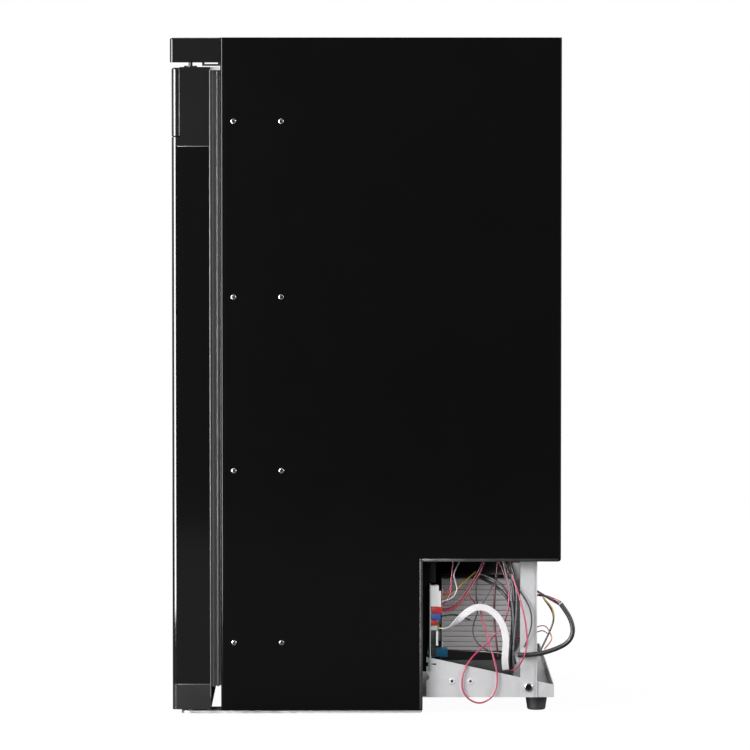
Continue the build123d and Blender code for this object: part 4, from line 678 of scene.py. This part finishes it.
# parts on the board: finish, ways, then distances in from its near edge, off its face and above its foot
boardLow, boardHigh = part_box("control_board")
housings = {
    "powerHeader": ("plugWhite", 8, (0.002, 0.015), (0.0, 0.0119), (0.096, 0.1275)),
    "powerPlug": ("plugWhite", 6, (0.003, 0.014), (0.012, 0.0154), (0.0954, 0.119)),
    "redPlug": ("plugRed", 2, (0.002, 0.014), (0.0, 0.0162), (0.086, 0.0953)),
    "bluePlug": ("plugBlue", 2, (0.002, 0.014), (0.0, 0.0148), (0.076, 0.0856)),
    "smallRedHeader": ("plugRed", 2, (0.002, 0.010), (0.0, 0.0094), (0.0678, 0.0752)),
    "smallBlackPlug": ("plugBlack", 2, (0.0025, 0.0095), (0.0095, 0.0168), (0.0685, 0.0756)),
    "ribbonHeader": ("plugTeal", 4, (0.003, 0.013), (0.0, 0.0098), (0.060, 0.067)),
    "relayBody": ("relayGreen", 1, (0.002, 0.017), (0.0, 0.0077), (0.0385, 0.0596)),
    "relayShelf": ("plugWhite", 4, (0.002, 0.015), (0.0078, 0.0110), (0.0370, 0.0585)),
    "relayPlug": ("plugBlack", 3, (0.003, 0.012), (0.0111, 0.0166), (0.0436, 0.0590)),
    "capacitorCan": ("plugBlack", 1, (0.004, 0.013), (0.0, 0.0078), (0.021, 0.036)),
    "filmCapacitor": ("terminalBlue", 1, (0.060, 0.090), (0.0, 0.0265), (0.0138, 0.025)),
    "mainChip": ("plugBlack", 1, (0.060, 0.088), (0.0, 0.0040), (0.095, 0.105)),
}
moulding = {
    "seatRim": 0.0006, "seatDepth": 0.0022, "windowRim": 0.0007, "windowDepth": -0.0002, "latchWays": 4,
    "stepRim": 0.0008, "stepDepth": 0.0003, "soften": 0.00025,
}


def makeHousing(name, finish, ways, depth, reach, rise):
    low = (boardHigh[0] - depth[1], boardHigh[1] + reach[0], boardLow[2] + rise[0])
    high = (boardHigh[0] - depth[0], boardHigh[1] + reach[1], boardLow[2] + rise[1])
    piece = startBlock(name, low, high)
    if ways > 1:
        cutAcross(spread(low[2], high[2], ways), 2)
        pickFaces(piece, lambda middle, normal: normal.y > square)       # the wires' seats
        inset(moulding["seatRim"], each=True)
        push((0, -moulding["seatDepth"], 0))
    else:
        pickFaces(piece, lambda middle, normal: normal.y > square)       # a shallow moulded step
        inset(moulding["stepRim"])
        push((0, -moulding["stepDepth"], 0))
    if ways >= moulding["latchWays"]:
        nearFace = high[0] - 0.0001                                      # the latch windows
        pickFaces(piece, lambda middle, normal: normal.x > square and middle.x > nearFace)
        inset(moulding["windowRim"], moulding["windowDepth"], each=True)
    finishPiece(piece, [finish], "wiring_connectors", soften=moulding["soften"])


for name, (finish, ways, depth, reach, rise) in housings.items():
    makeHousing(name, finish, ways, depth, reach, rise)

transformer = {
    "depth": (0.060, 0.100), "rise": (0.030, 0.075), "coreReach": 0.010, "layers": 6, "layerEdge": 0.00018,
    "windingReach": 0.014, "windingInset": 0.008, "dishRim": 0.002, "dishDepth": 0.0012,
}


def makeTransformer():
    # a laminated core with its winding standing through it
    x0, x1 = boardHigh[0] - transformer["depth"][1], boardHigh[0] - transformer["depth"][0]
    z0, z1 = boardLow[2] + transformer["rise"][0], boardLow[2] + transformer["rise"][1]
    y = boardHigh[1]
    coreTop, edge = y + transformer["coreReach"], 0.0002
    core = startBlock("transformerCore", (x0, y, z0), (x1, coreTop, z1))
    cutAcross(spread(y, coreTop, transformer["layers"]), 1)
    pickEdges(core, lambda middle, way: abs(way.y) < 0.1 and y + edge < middle.y < coreTop - edge)
    bpy.ops.mesh.bevel(offset=transformer["layerEdge"], segments=1)
    finishPiece(core, ["zincPlate"], "wiring_connectors", soften=0.0003)
    margin = transformer["windingInset"]
    low = (x0 + margin, coreTop, z0 + margin)
    high = (x1 - margin, y + transformer["windingReach"], z1 - margin)
    winding = startBlock("transformerWinding", low, high)
    pickFaces(winding, lambda middle, normal: normal.y > square)
    inset(transformer["dishRim"])
    push((0, -transformer["dishDepth"], 0))
    finishPiece(winding, ["yellowWire"], "wiring_connectors", soften=0.0008, segments=3)


makeTransformer()


def copyAlong(source, stem, places):
    depth, rise = places[0]
    for number, (otherDepth, otherRise) in enumerate(places[1:], 2):
        twin = source.copy()
        twin.data = source.data.copy()
        twin.name = "%s%d" % (stem, number)
        twin.data.transform(Matrix.Translation((depth - otherDepth, 0, otherRise - rise)))
        bpy.context.scene.collection.objects.link(twin)
        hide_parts("wiring_connectors")
        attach(twin, "cabinet")


# small parts, each placed by how far in from the board's near edge and above its foot it stands
resistor = {
    "places": [(0.026, 0.112), (0.026, 0.107), (0.026, 0.102), (0.044, 0.112), (0.044, 0.107),
               (0.030, 0.058), (0.030, 0.053)],
    "length": 0.0064, "radius": 0.0012, "stand": 0.0022, "waist": 0.82, "leadInset": 0.0009,
    "leadLength": 0.0016,
}
filterCan = {
    "places": [(0.050, 0.090), (0.040, 0.088), (0.028, 0.078)],
    "radius": 0.0042, "height": 0.0112, "bead": (0.0014, 0.0022), "beadPull": 0.9,
    "capRim": 0.0007, "capDepth": -0.0003,
}


def makeResistors():
    # a barrel pulled in at its middle, with a lead at each end
    depth, rise = resistor["places"][0]
    x, y, z = boardHigh[0] - depth, boardHigh[1] + resistor["stand"], boardLow[2] + rise
    half = resistor["length"] / 2
    barrel = startRound("resistor1", (x - half, y, z), (x + half, y, z), resistor["radius"], 16)
    cutAcross([x - half * 0.45, x + half * 0.45], 0)
    pickFaces(barrel, lambda middle, normal: abs(normal.x) < 0.5 and abs(middle.x - x) < half * 0.4)
    bpy.ops.transform.resize(value=(1, resistor["waist"], resistor["waist"]), center_override=(x, y, z))
    pickFaces(barrel, lambda middle, normal: abs(normal.x) > square)
    inset(resistor["leadInset"])
    bpy.ops.mesh.extrude_region_shrink_fatten(TRANSFORM_OT_shrink_fatten={"value": -resistor["leadLength"]})
    finishPiece(barrel, ["nylonCream"], "wiring_connectors", soften=0.0002)
    copyAlong(barrel, "resistor", resistor["places"])


def makeFilterCans():
    # a can with a turned bead and a sunk cap
    depth, rise = filterCan["places"][0]
    x, y, z = boardHigh[0] - depth, boardHigh[1], boardLow[2] + rise
    low, high = (y + place for place in filterCan["bead"])
    top, pull = y + filterCan["height"], filterCan["beadPull"]
    can = startRound("filterCan1", (x, y, z), (x, top, z), filterCan["radius"], 28)
    cutAcross([low, high], 1)
    pickFaces(can, lambda middle, normal: abs(normal.y) < 0.5 and low < middle.y < high)
    bpy.ops.transform.resize(value=(pull, 1, pull), center_override=(x, y, z))
    pickFaces(can, lambda middle, normal: normal.y > square)
    inset(filterCan["capRim"], filterCan["capDepth"])
    pickFaces(can, lambda middle, normal: normal.y > square and middle.y > top - 0.0008)
    colourPicked(can, 1)
    finishPiece(can, ["plugBlack", "tinnedPin"], "wiring_connectors", soften=0.0002)
    copyAlong(can, "filterCan", filterCan["places"])


makeResistors()
makeFilterCans()
print("board parts made")

# the condenser: a finned block between two end plates, a foot and a head
coilLow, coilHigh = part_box("condenser_coil")
condenser = {
    "pitch": 0.0078, "groove": 0.0009, "grooveDepth": 0.0020, "skin": 0.0006, "end": 0.001,
    "round": 0.0011, "soften": 0.0003, "plate": 0.0012, "plateSwage": (0.002, -0.0002),
    "lip": 0.0020, "lipSwage": (0.003, -0.0005),
}


def makeCondenser():
    x0, x1 = coilLow[0], coilHigh[0]
    y0, y1 = coilLow[1] + condenser["plate"], coilHigh[1] - condenser["plate"]
    z0, z1 = coilLow[2] + condenser["lip"], coilHigh[2] - condenser["lip"]
    core = startBlock("condenserCore", (x0 + condenser["skin"], y0, z0), (x1 - condenser["skin"], y1, z1))
    rows = round((z1 - z0) / condenser["pitch"])
    step = (z1 - z0) / rows
    half, end = condenser["groove"] / 2, condenser["end"]
    cutAcross([z0 + row * step + edge for row in range(1, rows) for edge in (-half, half)], 2)

    def inGroove(middle, normal, side):
        offset = (middle.z - z0) % step
        inside = z0 + end < middle.z < z1 - end
        return inside and normal.x * side > square and min(offset, step - offset) < half * 0.8
    for side in (1, -1):
        pickFaces(core, lambda middle, normal: inGroove(middle, normal, side))
        # the grooves' faces are coloured finShade, darker than the fins: painted shade in the grooves
        colourPicked(core, 1)
        push((-side * condenser["grooveDepth"], 0, 0))
    finishPiece(
        core, ["finStack", "finShade"], "condenser_coil", soften=condenser["round"], segments=3, smooth=50)
    for name, y in (("condenserPlateFront", coilLow[1]), ("condenserPlateRear", y1)):
        makeBar(
            name, (x0, y, coilLow[2]), (x1, y + condenser["plate"], coilHigh[2]),
            lambda middle, normal: abs(normal.y) > square, condenser["plateSwage"],
            "finStack", "condenser_coil", soften=condenser["soften"])
    for name, z in (("condenserFoot", coilLow[2]), ("condenserHead", z1)):
        makeBar(
            name, (x0, y0, z), (x1, y1, z + condenser["lip"]),
            lambda middle, normal: abs(normal.z) > square, condenser["lipSwage"],
            "coilAluminium", "condenser_coil", soften=condenser["soften"])


makeCondenser()
print("condenser made")

# the door's magnetic seal: a rectangular loop drawn out along its section, from the door to the cabinet,
# whose steps are (outward from the loop's edge, towards the cabinet)
sealLow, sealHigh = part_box("door_gasket")
seal = {
    "lip": (0.0018, 0.0041), "lipReach": 0.004, "weld": 0.00002,
    "section": (
        (-0.0010, 0.0), (-0.0008, 0.0018), (-0.0003, 0.0028), (0.0, 0.0040), (-0.0003, 0.0052),
        (-0.0014, 0.0062), (-0.0022, 0.0070), (-0.0012, 0.0080), (-0.0004, 0.0094), (-0.0004, 0.0108),
        (-0.0014, 0.0122), (-0.0028, 0.0131), (-0.0016, 0.0138), (-0.0014, 0.01475), (-0.0140, 0.01475),
        (-0.0140, 0.0125), (-0.0126, 0.0100), (-0.0140, 0.0070), (-0.0150, 0.0040), (-0.0150, 0.0)),
}


def makeSeal():
    bpy.ops.object.select_all(action="DESELECT")
    middleZ, halfTall = (sealLow[2] + sealHigh[2]) / 2, (sealHigh[2] - sealLow[2]) / 2
    centre = (0, sealLow[1], middleZ)
    bpy.ops.mesh.primitive_plane_add(size=2, location=centre, rotation=(math.pi / 2, 0, 0))
    offset, depth = seal["section"][0]
    wide, tall = sealHigh[0] + offset, halfTall + offset
    bpy.context.object.scale = (wide, tall, 1)
    loop = openPiece("doorSeal")
    bpy.ops.mesh.select_all(action="SELECT")
    bpy.ops.mesh.select_mode(type="EDGE")
    bpy.ops.mesh.delete(type="ONLY_FACE")
    bpy.ops.mesh.select_all(action="SELECT")
    for nextOffset, nextDepth in seal["section"][1:] + seal["section"][:1]:
        nextWide, nextTall = wide + nextOffset - offset, tall + nextOffset - offset
        push((0, nextDepth - depth, 0))
        bpy.ops.transform.resize(value=(nextWide / wide, 1, nextTall / tall), center_override=centre)
        wide, tall, offset, depth = nextWide, nextTall, nextOffset, nextDepth
    bpy.ops.mesh.select_all(action="SELECT")
    bpy.ops.mesh.remove_doubles(threshold=seal["weld"])
    bpy.ops.mesh.normals_make_consistent(inside=False)

    # the lip's outer faces are painted lighter: a painted highlight along the seal's first bulge
    def onLip(middle, normal):
        reach = seal["lipReach"]
        outer = abs(middle.x) > sealHigh[0] - reach or abs(middle.z - middleZ) > halfTall - reach
        return outer and seal["lip"][0] < middle.y - sealLow[1] < seal["lip"][1]
    pickFaces(loop, onLip)
    colourPicked(loop, 1)
    finishPiece(loop, ["gasketGrey", "gasketLipHighlight"], "door_gasket", body="door", smooth=50)


makeSeal()
print("door seal made")


# round heads stand where each of a node's separate bodies lies, and face the way it faces
def islandBoxes(name):
    mesh = bmesh.new()
    mesh.from_mesh(nodes[name].data)
    mesh.transform(nodes[name].matrix_world)
    bmesh.ops.remove_doubles(mesh, verts=mesh.verts, dist=0.000001)
    boxes = []
    for first in mesh.verts:
        if first.tag:
            continue
        first.tag = True
        island = [first]
        for vertex in island:
            for edge in vertex.link_edges:
                other = edge.other_vert(vertex)
                if not other.tag:
                    other.tag = True
                    island.append(other)
        places = [vertex.co.copy() for vertex in island]
        boxes.append([Vector(map(pick, zip(*places))) for pick in (min, max)])
    mesh.free()
    return boxes


heads = {
    "side_panel_screws": {
        "stem": "sidePanelScrews", "height": 0.0020, "crown": 0.0011, "hole": 0.0017, "sink": 0.0011,
        "facets": 32},
    "frame_bolts": {
        "stem": "frameBolts", "height": 0.0025, "crown": 0.0014, "hole": 0.0041, "sink": 0.0019,
        "facets": 36},
}


def makeHeads(node, look):
    # a crowned head with a sunk recess whose faces are painted near black, a painted shade in the recess; its
    # diameter is its CAD body's
    for number, (low, high) in enumerate(islandBoxes(node), 1):
        middle, size, radius = (low + high) / 2, high - low, (high - low).z / 2
        axis = 1 if size.y < size.x - 0.0001 and abs(size.x - size.z) < 0.0002 else 0
        way = Vector((0, -1, 0)) if axis == 1 else Vector((math.copysign(1, middle.x), 0, 0))
        top = middle.copy()
        top[axis] = (high if way.x > 0 else low)[axis]
        seat = top - way * look["height"]
        head = startRound("%s%d" % (look["stem"], number), seat, top, radius, look["facets"])
        pickFaces(head, lambda centre, normal: normal.dot(way) > square)
        bpy.ops.mesh.bevel(offset=look["crown"], segments=5)
        pickFaces(head, lambda centre, normal: normal.dot(way) > 0.99 and (centre - top).length < 0.0004)
        inset(max(0.0002, radius - look["crown"] - look["hole"]))
        colourPicked(head, 1)
        push(-way * look["sink"])
        colourPicked(head, 1)
        finishPiece(head, ["screwSteel", "carrierBlack"], node, smooth=50)


for node, look in heads.items():
    makeHeads(node, look)
print("screws and bolts made")

# rims of the holes in the tray's side, and a lighter strip round the panel's notch: a painted highlight on
# the notch's rounded fold
trayLow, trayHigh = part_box("base_tray")
postLow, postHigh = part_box("rear_posts")
panelLow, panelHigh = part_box("side_panel_right")
rims = {
    "along": (0.0455, 0.0735), "rise": 0.024, "radius": 0.0045, "height": 0.0006, "proud": 0.0002,
    "hole": 0.0020,
}
hem = {"wide": 0.0044, "proud": 0.0003, "deep": 0.0010, "foot": 0.006, "corner": 0.004, "lap": 0.001,
       "soften": 0.0003}


def makeRims():
    for side, label in sides:
        for number, along in enumerate(rims["along"], 1):
            y, z = trayLow[1] + along, trayLow[2] + rims["rise"]
            seat = Vector((side * (trayHigh[0] - rims["height"]), y, z))
            top = seat + Vector((side * (rims["height"] + rims["proud"]), 0, 0))
            ring = startRound("trayRivet%s%d" % (label, number), seat, top, rims["radius"])
            pickFaces(ring, lambda centre, normal: abs(normal.x) > square)
            inset(rims["radius"] - rims["hole"], each=True)
            bpy.ops.mesh.bridge_edge_loops()
            finishPiece(ring, ["rivetBright"], None, soften=0.0002, smooth=50)


def makeHem():
    y, z = trayLow[1] + hem["lap"], postHigh[2] - hem["lap"]
    top = z + hem["wide"]
    # each strip's lowest and highest corner seen from the side, and where it is cut along which axis
    strips = {
        "notchEdgeUpright": ((y - hem["wide"], hem["foot"]), (y, top), [z / 3, z * 2 / 3], 2),
        "notchEdgeAcross": ((y, z), (panelHigh[1] - hem["corner"], top), [y + 0.06, y + 0.13], 1),
    }
    for side, label in sides:
        x0, x1 = sorted((side * (panelHigh[0] - hem["deep"]), side * (panelHigh[0] + hem["proud"])))
        for name, (lowCorner, highCorner, cuts, axis) in strips.items():
            strip = startBlock(name + label, (x0, *lowCorner), (x1, *highCorner))
            cutAcross(cuts, axis)
            finishPiece(strip, ["notchFoldHighlight"], None, soften=hem["soften"])


makeRims()
makeHem()
print("rims and notch edges made")

# the thin lighter strips on the door's side, where its pieces meet: painted highlights on their bevelled
# edges
fasciaLow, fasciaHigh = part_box("door_top_fascia")
railLow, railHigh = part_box("door_top_rail")
stileLow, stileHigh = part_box("door_hinge_stile")
edges = {
    "wide": 0.0007, "rearWide": 0.0013, "proud": 0.0001, "deep": 0.0006, "inset": 0.002, "frontInset": 0.008,
    "railOverlap": 0.02, "topGap": 0.004, "swage": (0.00015, 0.00005),
}


def makeDoorEdges():
    rear, front = stileHigh[1] - edges["inset"], stileLow[1] + edges["frontInset"]
    low, high = stileLow[2], stileHigh[2]
    # each strip's lowest and highest corner, seen from the side
    strips = {
        "doorRearEdge": (
            (stileHigh[1] - edges["rearWide"], low - edges["railOverlap"]),
            (stileHigh[1], railHigh[2] - edges["topGap"])),
        "fasciaRearEdge": (
            (fasciaHigh[1] - edges["wide"], fasciaLow[2] + edges["inset"]),
            (fasciaHigh[1], fasciaHigh[2] - edges["inset"])),
        "topRailEdge": ((front, high), (rear, high + edges["wide"])),
        "bottomRailEdge": ((front, low - edges["wide"]), (rear, low)),
    }
    for side, label in sides:
        x0, x1 = sorted((side * (stileHigh[0] - edges["deep"]), side * (stileHigh[0] + edges["proud"])))
        for name, (lowCorner, highCorner) in strips.items():
            makeBar(
                name + label, (x0, *lowCorner), (x1, *highCorner),
                lambda middle, normal: normal.x * side > square, edges["swage"],
                "paintedEdgeHighlight", None, body="door")


makeDoorEdges()
print("door edges made")

nodeFinish = {
    "glossBlackPaint": "side_panel_right side_panel_left",
    "lidBlack": "top_panel",
    "frameBlack": "door_hinge_stile door_latch_stile",
    "capBlack": "door_bottom_rail",
    "fasciaBlack": "door_top_rail door_top_fascia",
    "headerBlack": "header_cover",
    "bayBlack": "compartment_bulkhead condenser_fan_shroud",
    "carrierBlack": "board_carrier",
    "galvanisedSheet": "back_panel floor_pan base_tray rear_posts",
    "bracketBlack": "top_hinge_bracket",
    "zincPlate": "bottom_hinge_bracket shelf_standards shelf_clips condenser_fan_motor",
    "screwSteel": "side_panel_screws frame_bolts",
    "foamFill": "foam_insulation",
    "linerWhite": "inner_liner light_housings evaporator_cover",
    "floatGlass": "door_outer_glass door_inner_glass",
    "spacerGrey": "glass_spacer",
    "gasketGrey": "door_gasket",
    "wireWhite": "wire_shelf_lower wire_shelf_middle wire_shelf_upper",
    "opalLens": "light_lenses",
    "coilAluminium": "evaporator_coil condenser_coil",
    "copperPipe": "refrigerant_pipes",
    "mouldedBlack": (
        "evaporator_fan_motor evaporator_fan_blade hinge_bushes compressor_terminal_box "
        "condenser_fan_blade condensate_pan"),
    "compressorEnamel": "compressor_shell",
    "footRubber": "rubber_feet compressor_mounts",
    "windowSmoke": "display_panel",
    "keyGrey": "button_down button_up button_light",
    "boardGreen": "control_board",
    "plugWhite": "wiring_connectors",
}


def dressNodes():
    for finish, names in nodeFinish.items():
        for name in names.split():
            slots = nodes[name].data.materials
            slots.clear()
            slots.append(materials[finish])


dressNodes()
print("CAD nodes dressed")

# the world shows white, lights matt surfaces evenly, and is dark to gloss that faces the darkened way
sky = {
    "fill": 0.55, "darkenedWay": (1.0, 0.0, 0.0), "from": 0.40, "to": 0.80, "glossBright": 0.85,
    "glossDark": 0.03,
}
floorLook = {"size": 7.0, "drop": 0.0003, "matt": 0.80, "shadowShare": 0.03, "bounce": 0.13}


def throughOrSeen(tree):
    # 1 for a ray from the camera or through glass
    ray = addNode(tree, "LightPath")
    either = addNode(tree, "Math", operation="MAXIMUM")
    connect(tree, (ray, "Is Camera Ray", either, 0), (ray, "Is Transmission Ray", either, 1))
    return ray, either


def makeWorld():
    world = bpy.data.worlds.new("studioWorld")
    bpy.context.scene.world = world
    world.use_nodes = True
    tree = world.node_tree
    tree.nodes.clear()
    ray, either = throughOrSeen(tree)
    white = (1, 1, 1, 1)
    seen = addNode(tree, "Background", {"Color": white, "Strength": 1.0})
    fill = addNode(tree, "Background", {"Color": white, "Strength": sky["fill"]})
    gloss = addNode(tree, "Background", {"Color": white})
    where = addNode(tree, "TexCoord")
    facing = addNode(tree, "VectorMath", {1: sky["darkenedWay"]}, operation="DOT_PRODUCT")
    darken = addNode(tree, "MapRange", {
        "From Min": sky["from"], "From Max": sky["to"], "To Min": sky["glossBright"],
        "To Max": sky["glossDark"]}, interpolation_type="SMOOTHSTEP")
    withGloss = addNode(tree, "MixShader")
    withSeen = addNode(tree, "MixShader")
    end = addNode(tree, "OutputWorld")
    connect(
        tree,
        (where, "Generated", facing, 0), (facing, "Value", darken, "Value"),
        (darken, "Result", gloss, "Strength"), (ray, "Is Glossy Ray", withGloss, "Fac"),
        (fill, 0, withGloss, 1), (gloss, 0, withGloss, 2),
        (either, 0, withSeen, "Fac"), (withGloss, 0, withSeen, 1), (seen, 0, withSeen, 2),
        (withSeen, 0, end, "Surface"))


def makeFloor():
    bpy.ops.mesh.primitive_plane_add(size=floorLook["size"], location=(0, 0, -floorLook["drop"]))
    floor = bpy.context.object
    floor.name = "studioFloor"
    material = bpy.data.materials.new("paleFloor")
    material.use_nodes = True
    tree = material.node_tree
    tree.nodes.clear()
    matt = addNode(tree, "BsdfDiffuse", {"Color": (*[floorLook["matt"]] * 3, 1)})
    bounce = addNode(tree, "BsdfDiffuse", {"Color": (*[floorLook["bounce"]] * 3, 1)})
    glow = addNode(tree, "Emission", {"Color": (1, 1, 1, 1), "Strength": 1.0})
    softShadow = addNode(tree, "MixShader", {"Fac": 1 - floorLook["shadowShare"]})
    pick = addNode(tree, "MixShader")
    ray, either = throughOrSeen(tree)
    end = addNode(tree, "OutputMaterial")
    connect(
        tree,
        (matt, 0, softShadow, 1), (glow, 0, softShadow, 2), (either, 0, pick, "Fac"),
        (bounce, 0, pick, 1), (softShadow, 0, pick, 2), (pick, 0, end, "Surface"))
    floor.data.materials.append(material)


lampAim = (0, 0, 0.5)
lamps = {
    "keyLamp": {"place": (3.2, -4.2, 3.6), "size": 2.6, "power": 300.0},
    "rearLamp": {"place": (2.8, 4.6, 2.4), "size": 2.2, "power": 150.0},
    "topLamp": {"place": (-0.6, -0.4, 4.6), "size": 3.0, "power": 130.0},
    "farLamp": {"place": (-4.2, -1.5, 2.8), "size": 2.6, "power": 150.0},
}
# panels that only gloss sees, so that rounded edges carry a long highlight
reflectorAimX = 0.3
reflectors = {
    "frontReflector": {"place": (1.42, -0.95, 0.605), "size": (0.92, 1.19), "brightness": 28.0},
    "rearReflector": {"place": (1.30, 2.60, 0.90), "size": (0.9, 1.9), "brightness": 4.0},
}


def hangLight(name, shape, place, aim, power):
    bpy.ops.object.light_add(type="AREA", location=place)
    light = bpy.context.object
    light.name = name
    light.rotation_euler = turnTo(place, aim)
    light.data.shape = shape
    light.data.energy = power
    light.visible_camera = False
    return light


def hangLamps():
    for name, lamp in lamps.items():
        light = hangLight(name, "SQUARE", lamp["place"], lampAim, lamp["power"])
        light.data.size = lamp["size"]


def hangReflectors():
    for name, panel in reflectors.items():
        wide, tall = panel["size"]
        aim = (reflectorAimX, 0, panel["place"][2])
        power = panel["brightness"] * math.pi * wide * tall
        light = hangLight(name, "RECTANGLE", panel["place"], aim, power)
        light.data.size, light.data.size_y = wide, tall
        light.visible_diffuse = False
        light.visible_transmission = False


makeWorld()
makeFloor()
hangLamps()
hangReflectors()
bpy.context.scene.view_settings.view_transform = "Standard"
print("studio ready")
